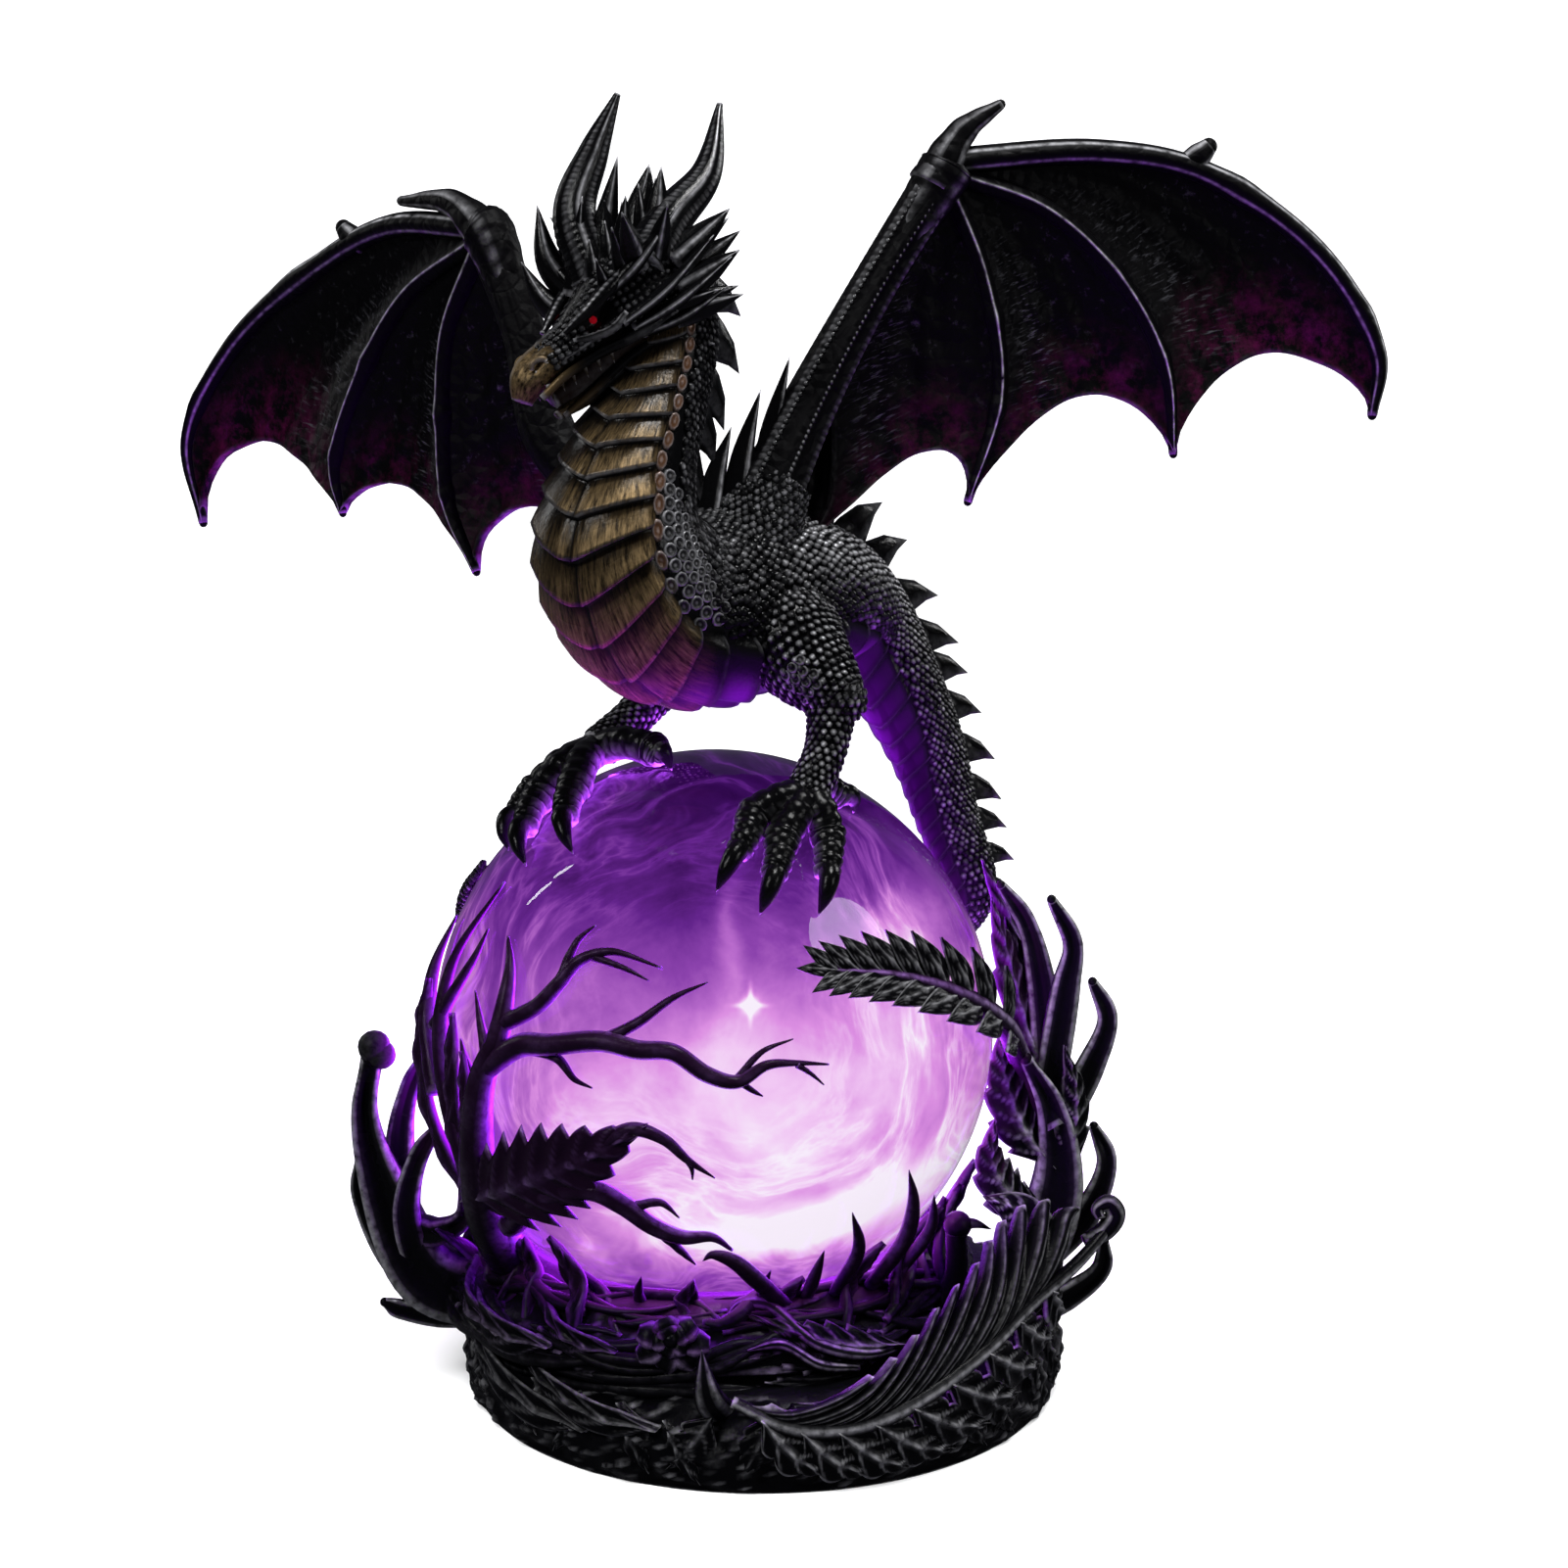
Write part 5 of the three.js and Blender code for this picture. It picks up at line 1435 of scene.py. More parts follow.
# %% The dragon's pieces
dragon_body = make_piece("dragon_body", body, DRAGON_RESIN)
dragon_wings = make_piece("dragon_wings", wings, WING_SKIN, 0.6)
ring_scales = set_shapes("ring_scales", pebbles, PEBBLE, DRAGON_RESIN, 0.0)
shield_scales = set_shapes("shield_scales", shields, SHIELD, DRAGON_RESIN, 0.0)
small_scales = set_shapes("small_scales", small_shields, SHIELD, DRAGON_RESIN, 0.0)
back_fins = set_shapes("back_fins", fins, FIN, DRAGON_RESIN, 0.3)
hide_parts("dragon")
for piece in (dragon_body, dragon_wings, ring_scales, shield_scales, small_scales, back_fins):
    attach(piece, "root")

# %% [markdown]
# ## The ball
# A polished glass ball with a lamp and a painted cloud sealed inside. The outside is a clear, faintly
# violet glass. The light sits on a smaller core: a cloud of noise that is drawn out into veils, dark at the
# crown and nearly white low in front, with one small spark. Glass bends the view, so the core fills the ball.
# A plain lamp in its middle throws the violet light on the resin, and three panes of light that only the
# glass can see give it the reflections of a window and two slits.

# %% Glass
GLASS_TINT = (0.93, 0.86, 1.0, 1)
GLASS_IOR = 1.45
glass, tree, shader, where = new_finish("violet_glass")
haze = math_node(tree, "MULTIPLY_ADD", noise_fac(tree, where, 45, 4), 0.06, -0.015, clamp=True)
tree.links.new(haze, shader.inputs["Roughness"])
shader.inputs["Base Color"].default_value = GLASS_TINT
shader.inputs["Transmission Weight"].default_value = 1.0
shader.inputs["IOR"].default_value = GLASS_IOR


def ball_piece(name, radius, finish):
    shape = bmesh.new()
    bmesh.ops.create_icosphere(shape, subdivisions=6, radius=radius * MM)
    bmesh.ops.translate(shape, verts=shape.verts, vec=Vector(BALL * MM))
    mesh = bpy.data.meshes.new(name)
    shape.to_mesh(mesh)
    shape.free()
    mesh.polygons.foreach_set("use_smooth", [True] * len(mesh.polygons))
    mesh.materials.append(finish)
    return link_object(name, mesh)


crystal_ball = ball_piece("crystal_ball_glass", BALL_R, glass)
crystal_ball.visible_shadow = False
print("glass ball", len(crystal_ball.data.polygons), "faces")

# %% The lamp in the ball, and panes of light that only the glass mirrors
GLOW_WATTS = 2.6
GLOW_VIOLET = (0.46, 0.06, 1.0)
GLOW_R = 36.5
glow = bpy.data.lights.new("ball_lamp", "POINT")
glow.energy = GLOW_WATTS
glow.color = GLOW_VIOLET
glow.shadow_soft_size = GLOW_R * MM
glow.use_soft_falloff = False
ball_lamp = link_object("ball_lamp", glow)
ball_lamp.location = BALL * MM
ball_lamp.visible_camera = ball_lamp.visible_transmission = ball_lamp.visible_glossy = False
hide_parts("crystal_ball")
not_glass = bpy.data.collections.new("all_but_the_glass")
not_glass.objects.link(crystal_ball)
not_glass.collection_objects[0].light_linking.link_state = "EXCLUDE"
for lamp in resin_lamps:
    lamp.light_linking.receiver_collection = not_glass
PANES = [  # name, place, size, watts
    ("window", (0.468, -0.162, 0.418), (0.36, 0.32), 1.6),
    ("slit_one", (-0.60, 0.205, 0.464), (0.02, 0.13), 0.07),
    ("slit_two", (-0.53, 0.20, 0.55), (0.02, 0.09), 0.05),
]
only_glass = bpy.data.collections.new("only_the_glass")
only_glass.objects.link(crystal_ball)
for name, place, size, power in PANES:
    pane = soft_lamp(name, place, BALL * MM, size, power)
    pane.light_linking.receiver_collection = only_glass
    pane.visible_camera = pane.visible_transmission = False
print("lamp and panes:", ball_lamp.name, [name for name, *_ in PANES])


# %% Glowing cloud inside the glass
CORE_R = 33.0
CLOUD_TONES = [  # brightness, colour
    (0.05, (0.018, 0.001, 0.045, 1)), (0.20, (0.042, 0.005, 0.095, 1)), (0.36, (0.135, 0.02, 0.27, 1)),
    (0.50, (0.28, 0.062, 0.43, 1)), (0.62, (0.51, 0.16, 0.62, 1)), (0.74, (0.77, 0.31, 0.79, 1)),
    (0.86, (0.94, 0.63, 0.93, 1)), (0.98, (1.0, 0.95, 1.0, 1)),
]


def cloud_finish():
    finish, tree, shader, where = new_finish("violet_cloud")
    size = 1 / (CORE_R * MM)
    centred = {"Vector": where, "Location": tuple(-BALL / CORE_R), "Scale": (size,) * 3}
    p = node(tree, "ShaderNodeMapping", centred).outputs[0]

    def vector_node(operation, one, two):
        second = "Scale" if operation == "SCALE" else 1
        return node(tree, "ShaderNodeVectorMath", {0: one, second: two}, operation=operation)

    drift = node(tree, "ShaderNodeTexNoise", {"Vector": p, "Scale": 1.1, "Detail": 2})
    push = vector_node("SUBTRACT", drift.outputs["Color"], (0.5, 0.5, 0.5)).outputs[0]
    push = vector_node("SCALE", push, 0.55).outputs[0]
    bent = vector_node("ADD", p, push).outputs[0]
    cloud = noise_fac(tree, bent, 1.7, 9, 0.62)
    cloud = math_node(tree, "SUBTRACT", cloud, 0.5)

    def towards(way, vector=p):
        return vector_node("DOT_PRODUCT", vector, way).outputs["Value"]

    def spot(across, tall, middle, spread):
        gaps = [math_node(tree, "DIVIDE", math_node(tree, "SUBTRACT", value, at), size)
                for value, at, size in zip((across, tall), middle, spread)]
        far = math_node(tree, "ADD", *(math_node(tree, "POWER", gap, 2) for gap in gaps))
        return math_node(tree, "EXPONENT", math_node(tree, "MULTIPLY", far, -1))

    TILTED_UP = (0.0, 0.27, 0.963)
    across, tall = towards((1, 0, 0)), towards(TILTED_UP)
    loose_across, loose_tall = towards((1, 0, 0), bent), towards(TILTED_UP, bent)
    squares = [math_node(tree, "POWER", value, 2) for value in (loose_across, loose_tall)]
    radius = math_node(tree, "SQRT", math_node(tree, "ADD", *squares))
    polar = [math_node(tree, "DIVIDE", value, radius) for value in (loose_across, loose_tall)]
    polar.append(math_node(tree, "MULTIPLY", radius, 7.0))
    arc = node(tree, "ShaderNodeCombineXYZ", dict(enumerate(polar))).outputs[0]
    veil = noise_fac(tree, arc, 0.9, 5, 0.6)
    veil = math_node(tree, "ABSOLUTE", math_node(tree, "MULTIPLY_ADD", veil, 2, -1))
    veil = math_node(tree, "POWER", math_node(tree, "SUBTRACT", 1, veil), 9)
    veil = math_node(tree, "MULTIPLY", veil, math_node(tree, "MULTIPLY_ADD", radius, 1.6, -0.6, clamp=True))
    heart = spot(loose_across, loose_tall, (0.14, -0.38), (0.82, 0.56))
    # A painted reflection of the glass's right shoulder, drawn into the cloud.
    shoulder_reflection = spot(loose_across, loose_tall, (0.8, 0.40), (0.22, 0.36))
    ground = spot(across, tall, (0.0, -1.02), (0.9, 0.2))
    sunk = math_node(tree, "POWER", math_node(tree, "SUBTRACT", across, 0.02), 2)
    sunk = math_node(tree, "MULTIPLY_ADD", sunk, 0.42, -0.80)
    crescent = spot(across, math_node(tree, "SUBTRACT", tall, sunk), (0.3, 0.0), (0.5, 0.07))
    upright = spot(across, tall, (0.16, 0.075), (0.009, 0.06))
    rays = math_node(tree, "ADD", upright, spot(across, tall, (0.16, 0.07), (0.05, 0.009)))
    star = spot(across, tall, (0.16, 0.07), (0.028, 0.028))
    star = math_node(tree, "ADD", star, math_node(tree, "MULTIPLY", rays, 0.6))
    plume = spot(loose_across, loose_tall, (0.10, 0.38), (0.05, 0.3))
    crown = math_node(tree, "MULTIPLY_ADD", math_node(tree, "MAXIMUM", tall, -0.15), -0.38, 0.465)
    # Darker towards the right rim, a painted shade where the ball meets the leaves.
    edge = math_node(tree, "MULTIPLY", radius, across)
    edge = math_node(tree, "MULTIPLY_ADD", edge, 6.0, -4.7, clamp=True)
    flank = math_node(tree, "MULTIPLY_ADD", loose_across, -2.2, -0.9, clamp=True)
    low_flank = math_node(tree, "MULTIPLY_ADD", loose_tall, -2.0, 0.2, clamp=True)
    flank = math_node(tree, "MULTIPLY", flank, low_flank)
    bright = crown
    lights = ((heart, 0.4), (edge, -0.12), (flank, -0.2), (shoulder_reflection, 0.32), (ground, -0.42),
              (cloud, 0.55), (veil, 0.28), (crescent, 0.5), (plume, 0.14), (star, 0.6))
    for part, strength in lights:
        bright = math_node(tree, "MULTIPLY_ADD", part, strength, bright, clamp=part == star)
    colour = node(tree, "ShaderNodeValToRGB", {"Fac": bright})
    stops = colour.color_ramp.elements
    stops[0].position, stops[0].color = CLOUD_TONES[0]
    stops[1].position, stops[1].color = CLOUD_TONES[-1]
    for at, tone in CLOUD_TONES[1:-1]:
        stops.new(at).color = tone
    tree.links.new(colour.outputs["Color"], shader.inputs["Emission Color"])
    shader.inputs["Base Color"].default_value = (0, 0, 0, 1)
    shader.inputs["Specular IOR Level"].default_value = 0.0
    shader.inputs["Emission Strength"].default_value = 1.0
    shader.inputs["Roughness"].default_value = 0.6
    return finish


cloud_core = ball_piece("violet_cloud_core", CORE_R, cloud_finish())
for piece in (crystal_ball, cloud_core):
    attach(piece, "root")
print("core", len(cloud_core.data.polygons), "faces")

# %% [markdown]
# ## The base
# A low round plinth, carved all over and hung with a frieze of leaves, carries a nest of roots in which the
# ball lies. Leaves, thorns and a bare little tree grow up from it over the glass. Each is clay on the same
# routes as the solid, with finer detail. What faces the ball or lies low in the nest is tinted violet at the
# end, because that is where its glow falls.

# %% Plinth and nest, turned and then carved with root-like ridges
base = Clay()


def ridges(point, scale, sharp=3):
    return (1 - abs(noise.noise(Vector(point) * scale))) ** sharp


def turned(profile, centre, rings, sides, carve):
    line = route([(r, 0, z) for r, z in profile], np.linspace(0, 1, rings))
    turn = np.linspace(0, 2 * math.pi, sides, endpoint=False)
    skin, paint = np.zeros((rings, sides, 3)), np.zeros((rings, sides))
    for k, (r, _, z) in enumerate(line):
        for j, a in enumerate(turn):
            rise, paint[k, j] = carve(a, z, k / (rings - 1))
            skin[k, j] = (centre[0] + (r + rise) * math.cos(a), centre[1] + (r + rise) * math.sin(a), z)
    press_tube(base, skin, line=paint)


def plinth_carving(a, z, share):
    point = (math.cos(a) * 42, math.sin(a) * 42, z * 1.6)
    leafy, fine_leaf = ridges(point, 0.16), ridges(point, 0.4, 2)
    paint = 0.12 * float(ramp(0.86, 0.99, leafy)) * float(ramp(0.5, 0.8, fine_leaf))
    ends = float(ramp(0.0, 0.12, share)) * float(ramp(1.0, 0.9, share))
    return (1.6 * leafy + 0.7 * fine_leaf - 1.35) * ends, paint * ends


def root_carving(a, z, share):
    point = (math.cos(a) * 20, math.sin(a) * 20, z * 3.4 + 3 * math.sin(2 * a))
    rise = (1.9 * ridges(point, 0.13) - 1.2) * float(ramp(0.0, 0.15, share))
    return rise * float(ramp(1.0, 0.85, share)), 0.0


PLINTH = [(41.7, 0), (42.5, 1.6), (43.0, 4.5), (43.1, 7.2), (41.9, 10.5), (39, 12.6), (34, 13.2)]
turned(PLINTH, (0, 0), 34, 240, plinth_carving)
NEST = [(35, 10), (37.6, 13), (37.4, 16), (35.2, 19.2), (32.2, 21.8), (29.4, 23), (27.4, 22.2)]
turned(NEST, BALL, 30, 220, root_carving)
print("plinth and nest, clay has", base.count, "points")


# %% Roots wound round the rim
PLINTH_R = 42.5


def on_plinth(around, height, out):
    a = math.radians(around)
    reach = PLINTH_R + out
    return np.array([reach * math.sin(a), -reach * math.cos(a), height])


def from_axis(here, t):
    return unit(here * np.array([1.0, 1.0, 0.0]))


def on_nest(around, height, out):
    a = math.radians(around)
    reach = np.interp(height, [z for _, z in NEST[:6]], [r for r, _ in NEST[:6]]) + out
    return np.array([BALL[0] + reach * math.sin(a), BALL[1] - reach * math.cos(a), height])


def from_nest(here, t):
    return unit((here - BALL) * np.array([1.0, 1.0, 0.0]) + 14 * UP)


def roots(count=120):
    rng = np.random.default_rng(11)
    for k in range(count):
        start, span = rng.uniform(0, 360), rng.uniform(22, 64) * rng.choice([-1, 1])
        low, rise = 11.5 + 10.5 * k / count, rng.uniform(-1.5, 5)
        thick, wave, phase = rng.uniform(0.5, 1.35), rng.uniform(0.4, 1.5), rng.uniform(0, 6)
        out = rng.uniform(-0.1, 0.9)
        line = []
        for s in np.linspace(0, 1, 7):
            height = min(low + rise * s + wave * math.sin(phase + 5 * s), 22.9)
            line.append(on_nest(start + span * s, height, out))
        taper = [thick * 0.5, thick, thick * 0.9, 0.12]
        tube(base, line, taper, 22, 8, from_nest, line=beads_along(9, 0.0, 0.25, 0.06))


roots()
print("roots, clay has", base.count, "points")


# %% Flames of leaf that lick up the glass all round
def flames(count=34):
    rng = np.random.default_rng(23)
    for k in range(count):
        around = 360 * k / count + rng.uniform(-4, 4)
        side = math.sin(math.radians(around))
        lean = rng.uniform(7, 22) * (1 if side > -0.1 else -1) * rng.choice([1, 1, -0.7])
        tall = rng.uniform(0.45, 1.0) * (7 + 20 * abs(side))
        middle = on_ball(around + 0.45 * lean, -49 + 0.5 * tall, 3.4)
        line = [on_nest(around, 17.5, 0.2), middle, on_ball(around + lean, -47 + tall, 1.7)]
        leaf(base, line, rng.uniform(1.5, 2.5), off_ball, 0, 0, 1.8, 4, rings=22, silver=0.25)


flames()
print("flames, clay has", base.count, "points")

# %% A frieze of lobed leaves round the plinth
frieze = Clay()


def frieze_leaves(count=40):
    rng = np.random.default_rng(31)
    for k in range(count):
        around = 360 * (k + rng.uniform(-0.2, 0.2)) / count
        lean = rng.uniform(5, 9) * (1 if k % 3 else -1)
        foot, tip = rng.uniform(9.6, 11.8), rng.uniform(1.4, 3.6)
        middle = on_plinth(around + 0.4 * lean, 0.55 * foot + 0.4 * tip, 0.35)
        line = [on_plinth(around, foot, -0.7), middle, on_plinth(around + lean, tip, -0.1)]
        half, silver = rng.uniform(2.2, 3.2), rng.uniform(0.15, 0.5)
        leaf(frieze, line, half, from_axis, 3, 0.34, 1.5, 4, 0.5, 25, lobed=True, silver=silver)


frieze_leaves()
print("frieze, clay has", frieze.count, "points")

# %% Thorns and hooks along the rim, in front
THORNS = [  # places on the ball as degrees round, degrees above, lift; then the radius at the foot
    ([(25, -44, 3.2), (25, -37.5, 2.6), (25.6, -32, 2)], 1.0),
    ([(33, -44, 3.5), (33.5, -32, 2.8), (29.6, -23, 2)], 1.15),
    ([(44, -44, 4), (46.5, -32, 3.2), (45, -23.6, 2.4), (41.8, -16.3, 1.8)], 1.4),
    ([(53, -42, 4), (55, -32, 3.4), (52, -24, 2.4)], 1.3),
    ([(20, -46, 4), (10, -35.5, 3.4), (5, -31, 2.8), (0.9, -30, 2.4), (-1.2, -32, 2.2)], 1.25),
    ([(15, -46, 3), (13, -41, 2.6), (14, -36, 2)], 0.9),
    ([(-14, -52, 4), (-18, -44, 3), (-16, -38, 2.2)], 1.0),
    ([(-30, -48, 4), (-36, -40, 3), (-35, -33, 2.2)], 1.3),
]
for line, radius in THORNS:
    points = [on_ball(*p) for p in line]
    taper = [radius, radius * 1.05, radius * 0.7, 0.08]
    tube(base, points, taper, 22, 12, off_ball, 0.7, line=beads_along(0, 1.2, 0.35, 0.3))
hook = [(-4.6, -38.0, 9), (-6.9, -42.4, 14), (-7.8, -41.4, 20)]
tube(base, hook, [2.4, 2.0, 0.06], 24, 18, (-0.1, -1, 0.2), 0.6, line=beads_along(0, 0.6, 0.12))
print("thorns")

# %% Rosette, tendril and long blades on the front left
rosette = on_nest(-7.5, 19, 1.8)
SEEN_FRONT = np.array([-0.05, -0.85, 0.6])
for count, ring, plump, ahead in ((7, 4.5, 2.0, 0.0), (5, 2.4, 1.6, 1.0)):
    for k in range(count):
        a = 2 * math.pi * (k + 0.5 * (count == 5)) / count
        way = np.array([math.cos(a) * 1.1, -0.1, math.sin(a) * 0.85])
        petal = [rosette + 0.25 * way + SEEN_FRONT * ahead,
                 rosette + 0.6 * ring * way + SEEN_FRONT * (ahead + 0.9),
                 rosette + ring * way + SEEN_FRONT * (ahead + 0.2)]
        taper = [0.5, plump, plump * 0.55]
        tube(base, petal, taper, 15, 16, SEEN_FRONT, 0.45, line=beads_along(0, 1.0, 0.3))
bead(base, rosette + SEEN_FRONT * 2.0, 1.1)
BLADES = [  # points and half the width
    ([(-46, -14, 27)] + [on_nest(*p) for p in ((-76, 20.5, 1.0), (-63, 17, 1.2), (-47, 16.2, 1.0))], 2.9),
    ([on_nest(*p) for p in ((-69, 19.5, 0.6), (-57, 17.4, 1.4), (-46, 16.4, 1.5), (-34, 16.6, 0.8))], 2.4),
    ([on_nest(*p) for p in ((-43, 21.2, 0.4), (-34, 18.8, 1.2), (-27, 17.6, 1.3), (-19, 17.4, 0.6))], 2.0),
    ([on_plinth(*p) for p in ((-74, 16, 0), (-60, 11, 1.2), (-46, 8, 1.2), (-32, 7, 0.8))], 2.6),
    ([on_plinth(*p) for p in ((-50, 14, 0), (-40, 11.5, 1), (-30, 9.4, 1.2), (-18, 9, 0.8))], 2.2),
]
for line, half in BLADES:
    leaf(base, line[::-1], half, from_axis, 0, 0, 1.8, 4, rings=34, cup=0.3, silver=0.6)
TENDRILS = [
    ([(4, 21.4, 0.6), (7, 22.3, 0.6), (13.4, 22.3, 0.9), (22, 18.2, 1.4), (32, 16, 1.6), (43, 15.2, 1.0)],
     1.0),
    ([(8, 18, 1.0), (15, 18.4, 1.2), (22, 15.8, 1.6), (31, 14.2, 1.4)], 0.8),
]
for line, radius in TENDRILS:
    points = [on_nest(*p) for p in line]
    taper = [0.15, radius, radius, radius, 0.5]
    tube(base, points, taper, 46, 12, from_nest, line=beads_along(0, 0.5, 0.16))
toothed = [on_nest(*p) for p in ((42, 15.5, 0.8), (30, 17, 1.0), (20, 19, 0.9), (8, 21.6, 0.6))]
leaf(base, toothed, 3.2, from_nest, 6, 0.4, 2.0, 7)
print("front carving, clay has", base.count, "points")


# %% A feathered sheet: pleats that run from a rib to a free edge, swept towards the tip
def vanes(clay, rib, edge, count, sweep=0.24, thick=0.9, bite=0.12):
    along, across = np.meshgrid(np.linspace(0, 1, count * 12 + 1), np.linspace(0, 1, 18), indexing="ij")
    share = along * count % 1
    reach = across * (1 - bite * (1 - np.sin(math.pi * share) ** 0.8))
    swept = along * (1 - sweep) + sweep * reach**0.65
    near, far = (route(line, swept.ravel()).reshape(*along.shape, 3) for line in (rib, edge))
    middle = near + (far - near) * reach[..., None]
    lengthways, sideways = np.gradient(middle, axis=0), np.gradient(middle, axis=1)
    out = unit(np.cross(sideways, lengthways))
    flip = np.sign(np.sum(out * unit(middle * np.array([1.0, 1.0, 0.0]))))
    pleat = 0.85 * np.sin(math.pi * share) ** 1.5 * ramp(0, 0.15, across)
    top = middle + flip * out * (thick / 2 + pleat + 0.8 * np.sin(math.pi * across))[..., None]
    under = middle + flip * out * (0.8 * np.sin(math.pi * across) - thick / 2)[..., None]
    paint = np.maximum(bell(share, 0.8, 0.06), 0.25 * bell(share, 0.4, 0.06))
    paint = 1.15 * paint * ramp(0.02, 0.1, across) * (0.75 + 0.25 * np.sin(30 * across))
    press_sheet(clay, *((top, under) if flip > 0 else (under, top)), line=paint)


sample = Clay()
vanes(sample, [(1, 0, 0), (1, 9, 0)], [(2, 0, 5), (2, 9, 5)], 3)
print("three barbs have", sample.count, "points")


# %% Acanthus feather that sweeps from the front round to the right
foliage = Clay()
SWEEP = [on_plinth(*p) for p in (
    (-5, 13.4, 0.6), (4.4, 10.3, 1.2), (13, 9.6, 1.4), (22, 10.4, 1.4), (32, 13, 1.5), (44, 16.4, 1.4),
    (57, 19.4, 1.2))] + [(44, -16, 22.6), (49, -11, 26.2)]
CREST = [
    on_nest(2, 16.5, 2.4), (5, -41, 15), (13, -40.5, 15.5), (18.6, -36.5, 18.2), (24, -31, 22.6),
    (29, -26, 26.4), (32.5, -20, 29.8), (38, -15, 31.5), (46, -11.6, 28.5),
]
HEM = [on_plinth(*p) for p in (
    (3, 5, 0.8), (13, 3.2, 1.0), (23, 2.8, 1.0), (34, 3.4, 1.0), (45, 5.6, 1.0), (57, 8.4, 0.8),
    (66, 11, 0.8), (72, 15, 1))]
vanes(foliage, SWEEP, CREST, 11, bite=0.5)
tube(foliage, SWEEP, [0.8, 1.3, 1.3, 1.2, 1.1, 1.0, 0.8], 90, 12, from_axis, line=beads_along(0, 0.0, 0.3))
for k in range(9):
    s = (k + 0.4) / 9
    foot_at, tip_at = route(SWEEP, [0.82 * s + 0.03])[0], route(HEM, [min(s + 0.08, 1)])[0]
    swell = (foot_at + tip_at) / 2 + 0.6 * from_axis((foot_at + tip_at)[None] / 2, 0)[0] - 1.2 * UP
    leaf(foliage, [foot_at, swell, tip_at], 3.3, from_axis, 3, 0.34, 1.9, 4, 0.5, 43, lobed=True, silver=1.2)
front = [(34, -16, 11), (38, -15, 22), (36, -15, 29.5), (30.8, -14, 31.8)]
leaf(foliage, front, 4.2, (0.3, -1, 0.2), 0, 0, 2.4, 9, rings=40, cup=0.15)
curl = [(45.5, -12, 24.4), (48.6, -11, 25.8), (50, -10.6, 28), (48.9, -10.6, 29.6), (47.4, -11, 28.8),
        (47.8, -11.6, 27.6)]
tube(foliage, curl, [1.0, 1.5, 1.5, 1.3, 1.0, 0.7], 34, 14, TO_FRONT, line=beads_along(0, 0.8, 0.15))
bud = [(25, -18, 12), (27, -17.5, 22), (27, -17, 28)]
tube(foliage, bud, [2.2, 1.6, 1.5], 16, 12, TO_FRONT)
bead(foliage, (27.2, -17, 28.6), 2.0)
tube(foliage, [(27.5, -17, 28.6), (29.6, -16.5, 28.6), (32, -16, 27.6)], [1.0, 0.7, 0.05], 10, 8)
print("acanthus, clay has", foliage.count, "points")


# %% Plumes at both sides: fat fingers of leaf with a groove along them
def frond(points, radius, tip=0.55):
    def groove(t, turn):
        away = from_front(turn)
        lips = 0.13 * bell(away, 0.9, 0.3) - 0.2 * bell(away, 0, 0.45)
        return lips * radius[1] * ramp(1.0, 0.8, t)

    taper = [*radius, radius[-1] * tip]
    tube(foliage, points, taper, 40, 20, TO_FRONT, 0.75, carve=groove, line=beads_along(0, 0.85, 0.13))
    bead(foliage, points[-1], 0.96 * radius[-1] * tip)


BLUNT = (2.3, 2.3, 1.9, 1.5, 1.3)
knobbed = [(-36, -3, 13), (-48, -5, 17), (-54.6, -5, 31), (-56.8, -5, 41), (-55.7, -5, 49.4)]
frond(knobbed, (4.6, 5.4, 4.2, 2.6, 1.7), 0.95)
bead(foliage, (-55.3, -5, 50.9), 2.4, line=0.05)
bead(foliage, (-54.3, -5.2, 49.8), 2.1, line=0.05)
LEFT_FRONDS = [
    [(-51.5, -4, 22), (-52.2, -3, 37), (-50.8, -3, 44), (-48.6, -3, 49)],
    [(-49, -5, 16), (-50.8, -8, 28), (-48.8, -9, 36), (-46.4, -9, 40)],
    [(-49, -5, 14), (-55, -3, 21), (-58.2, -2, 28), (-58.4, -2, 33)],
    [(-38, -5, 12), (-47, -6, 11.5), (-52, -7, 12.5), (-54.5, -7, 13.5)],
    [(-50, -5, 24), (-46, -9, 25), (-42, -13, 28.5), on_ball(-58, -18, 2)],
]
for line in LEFT_FRONDS:
    frond(line, BLUNT)
stem = [(30, -10, 11), (39.6, -9, 24), (42, -8, 33), (40.8, -8, 43), on_ball(79, -3, 5)]
frond(stem, (5.2, 4.4, 4, 3, 1.8))
RIGHT_FRONDS = [
    [(41, -6, 43), (39.4, -3, 61), (37.4, -2, 68.5), (33.8, -2, 73.8)],
    [(40.5, -6, 44), (43, -5, 60), (43.8, -5, 66), (40.6, -6, 72.6)],
    [(41, -6, 38), (46.6, -6, 48.5), (48.8, -6, 55.5), (46.6, -6, 60.7)],
    [(40.5, -6, 20), (46.6, -7, 27.5), (49, -7, 34.8), (47.2, -6, 39.5)],
    [(36, -6, 11), (43.8, -8, 15), (48.4, -8, 19), (48.8, -8, 23)],
]
for line in RIGHT_FRONDS:
    frond(line, BLUNT)
leaf(foliage, [(40, -7, 40), (38.6, -2, 54), (34.5, -1, 69)], 5, (0.5, -1, 0), 4, 0.3, 2.4, 8)
SIDE_LEAVES = [
    ([(41, -8, 34), (36.5, -8, 40), (34, -7, 47), (33.5, -6, 53)], 4.2),
    ([(41, -6, 42), (37, -4, 54), (34.4, -3, 64), (32.4, -2, 72)], 3.0),
    ([(40, -9, 28), (35, -12, 31), (32, -12, 36), (32.6, -11, 42)], 3.8),
    ([(42, -4, 40), (40, 2, 54), (36, 4, 66), (31.5, 5, 76)], 3.4),
    ([(41.5, -7, 30), (43.5, -8, 38), (44, -8, 45), (42.5, -8, 52)], 3.0),
]
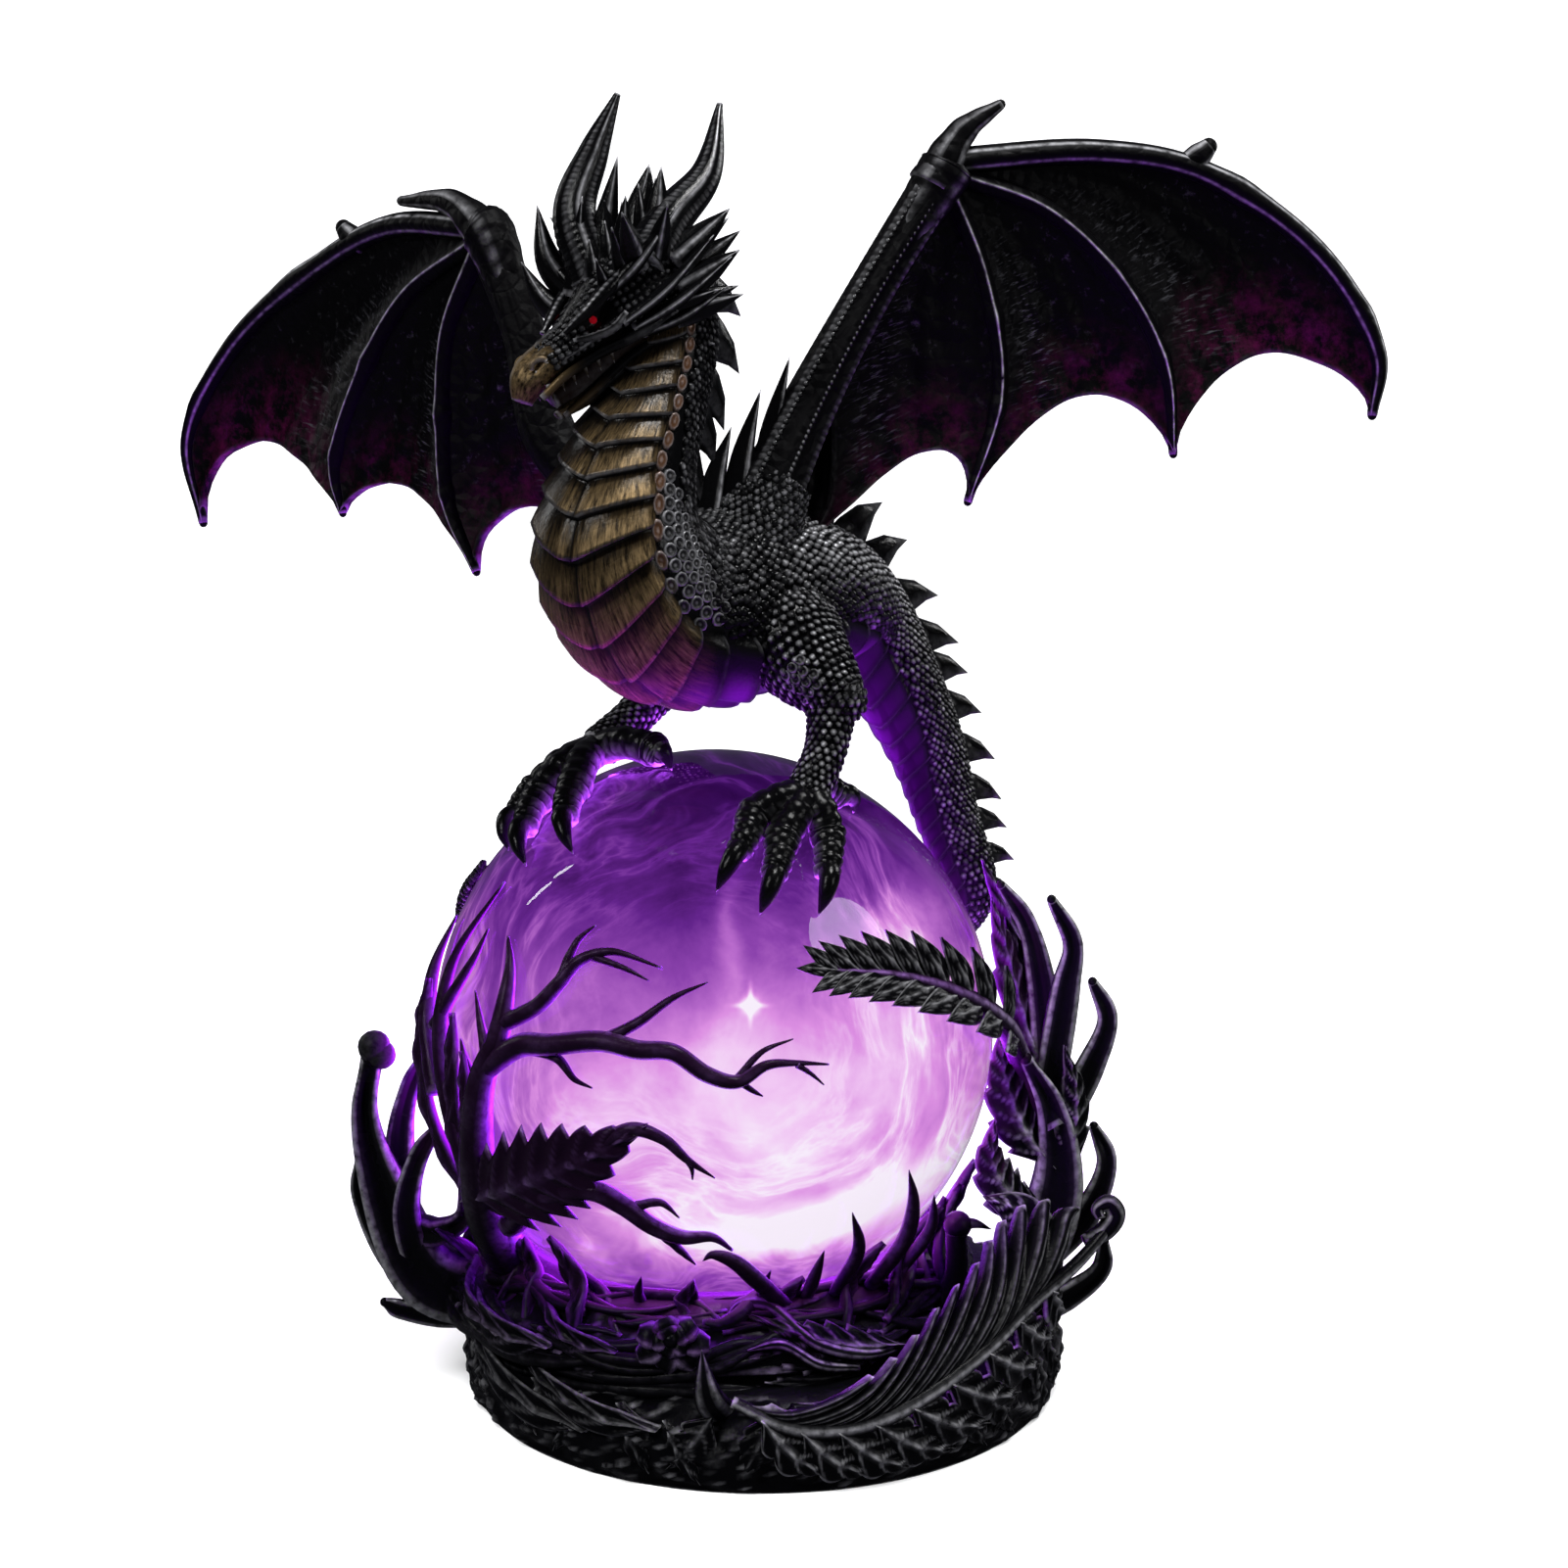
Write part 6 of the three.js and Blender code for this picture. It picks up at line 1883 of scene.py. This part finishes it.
for line, half in SIDE_LEAVES:
    leaf(foliage, line, half, (0.35, -1, 0.1), 5, 0.3, 2.2, 8, 0.7, 46)
print("plumes, clay has", foliage.count, "points")

# %% The bare tree and the broad toothed leaf on the left of the ball
BRANCHES = [  # degrees round and above the ball, then radii
    ([(-62, -44), (-53, -26), (-47.2, -6.9), (-45.2, 2), (-42.3, 8.9), (-42.2, 16.2), (-43.9, 22.3),
      (-48.5, 27.7)], [3.4, 2.1, 1.35, 0.22]),
    ([(-42.2, 11.7), (-33.7, 16.6), (-30.1, 21.1), (-26.7, 25.6), (-20.5, 28), (-9.2, 25.7)],
     [1.3, 1.1, 0.8, 0.15]),
    ([(-30.4, 21.2), (-28.6, 29.3), (-25.6, 32.9)], [0.8, 0.5, 0.12]),
    ([(-24.5, 26.8), (-17, 25.2), (-11.6, 23.2)], [0.6, 0.4, 0.1]),
    ([(-45, 3), (-36, 9), (-29.5, 10), (-19.3, 11.7), (-12.5, 10.7), (-6.1, 10.5), (0.2, 6.6), (5.5, 5.2),
      (11, 7.9), (16.5, 7.9), (23.1, 7)], [1.7, 1.35, 1.0, 0.15]),
    ([(-19.5, 11.7), (-12.9, 15.5), (-6.5, 20.2), (0.2, 23.2)], [0.9, 0.6, 0.12]),
    ([(5.1, 5.1), (10.2, 10.3), (16.4, 12.3)], [0.6, 0.4, 0.1]),
    ([(6, 5), (8.7, 3.1), (10.3, 2.1)], [0.5, 0.35, 0.1]),
    ([(16.7, 7.6), (19.5, 5.6), (22, 3.3)], [0.45, 0.3, 0.1]),
    ([(-36, 8.6), (-28.4, 7.4), (-25.1, 4.1), (-21.6, 2.7)], [0.9, 0.6, 0.12]),
    ([(-45, 4), (-49, 10), (-54.2, 16)], [1.0, 0.6, 0.12]),
    ([(-47.5, -4), (-53.7, 2.8), (-57, 6)], [1.0, 0.6, 0.12]),
    ([(-22, -9.5), (-13.4, -3.9), (-7.9, -5.5), (-3.5, -9.8), (1.4, -13.8)], [1.3, 1.0, 0.7, 0.12]),
    ([(-4.5, -8.6), (-2.9, -11.6), (-2.8, -14.2)], [0.5, 0.35, 0.1]),
    ([(-48, -30), (-34, -20), (-22.1, -16.6), (-16.4, -19.2), (-11, -23.9), (-5.2, -26.7), (0.9, -27.2),
      (5.1, -31.4)], [1.9, 1.5, 1.1, 0.25]),
    ([(-14.7, -20.2), (-9.2, -19.1), (-5.8, -23)], [0.8, 0.55, 0.12]),
    ([(-9.8, -25.7), (-5.6, -31.6), (-3.2, -36.1)], [0.8, 0.55, 0.12]),
    ([(-55, -36), (-55, -19.1), (-57.4, -10.4), (-60.9, -1.6), (-64.2, 9), (-65.6, 20), (-60.7, 37.4)],
     [2.2, 1.5, 1.1, 0.2]),
    ([(-67, 6), (-61, 14), (-57, 22), (-57, 28)], [1.1, 0.7, 0.15]),
    ([(-64, -6), (-72, 6), (-78, 16), (-80, 26)], [1.6, 1.1, 0.2]),
]


def bark(t, turn):
    return 0.1 * np.sin(23 * t + 2 * turn) * np.cos(3 * turn) * (1 - t)


for line, radius in BRANCHES:
    lift = eased(radius, np.linspace(0, 1, len(line)))
    points = [on_ball(a, b, max(float(r), 0.15) + 0.5) for (a, b), r in zip(line, lift)]
    tube(foliage, points, radius, 8 * len(line), 9, off_ball, carve=bark, line=beads_along(7, 0.0, 0.5, 0.1))
BROAD = ((-56, -24, 3.6), (-42, -19, 3.4), (-31, -14, 2.8), (-21, -9, 2.2), (-10.5, -2.6, 1.6))
broad = [on_ball(*p) for p in BROAD]
leaf(foliage, broad, 7.8, off_ball, 9, 0.42, 2.0, 9, 0.75, 91, silver=0.25)
UPRIGHT_LEAVES = [  # degrees round and above the ball, then half the width
    ([(-59, -34), (-58, -14), (-56, 0), (-57, 11)], 2.0),
    ([(-55, -34), (-53, -16), (-51, -4), (-52, 5)], 1.6),
    ([(-70, -34), (-74, -14), (-75, 2), (-73, 14)], 2.6),
]
for line, half in UPRIGHT_LEAVES:
    leaf(foliage, [on_ball(*p, 2.2) for p in line], half, off_ball, 0, 0, 1.8, 5, rings=34, silver=0.35)
print("tree, clay has", foliage.count, "points")


# %% Feather leaf over the right of the ball: leaflets set along its rib
def leaflet_shape():
    clay = Clay()
    leaf(clay, [(0, 0, 0), (0, 5, 0.7), (0, 10, 0)], 1.9, UP, 0, 0, 1.4, 3, 0.0, 12)
    paint = np.concatenate(clay.marks["line"])
    return hidden_shape("leaflet", np.vstack(clay.points) / 10, clay.faces, paint)


RIB = [(41.5, -8, 40.0)] + [on_ball(*p) for p in (
    (83, -6, 4.8), (65.6, 7.7, 3.8), (49.8, 16.9, 2.9), (36.8, 21.7, 2.3), (24.5, 24, 1.8))]
tube(foliage, RIB, [2.0, 1.7, 1.4, 1.0, 0.4], 60, 16, off_ball, line=beads_along(0, 0.0, 0.3))
leaflets = Places()
for hand in (1, -1):
    t = np.linspace(0.34, 0.95, 9) + 0.018 * hand
    here, tangent, front, side = sections(RIB, t, off_ball)
    long = 6.6 * np.sin(math.pi * (0.22 + 0.7 * t)) + 2.9
    way = unit(0.87 * tangent + 0.52 * hand * side + 0.02 * front)
    size = np.stack([long * 1.15, long * 1.22, long * 0.8], 1)
    leaflets.add(here, unit(front - 0.25 * hand * side), way, size)
here, tangent, front, side = sections(RIB, [0.97], off_ball)
leaflets.add(here, front, tangent, np.array([[5.5, 6.0, 4.5]]))
LEAFLET = leaflet_shape()
feather = set_shapes("feather_leaf", leaflets, LEAFLET, BASE_RESIN, 0.5)

# %% The base's pieces
base_carving = make_piece("base_carving", base, BASE_RESIN, 1.8)
base_foliage = make_piece("base_foliage", foliage, BASE_RESIN)
plinth_leaves = make_piece("plinth_leaves", frieze, BASE_RESIN, 1.8)
for piece in (base_carving, base_foliage):
    paint_glow_towards_ball(piece)
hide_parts("base")
for piece in (base_carving, base_foliage, plinth_leaves, feather):
    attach(piece, "root")
for shape in (SHIELD, PEBBLE, FIN, LEAFLET):
    bpy.data.objects.remove(shape)
print("base", len(base_carving.data.polygons), "faces")
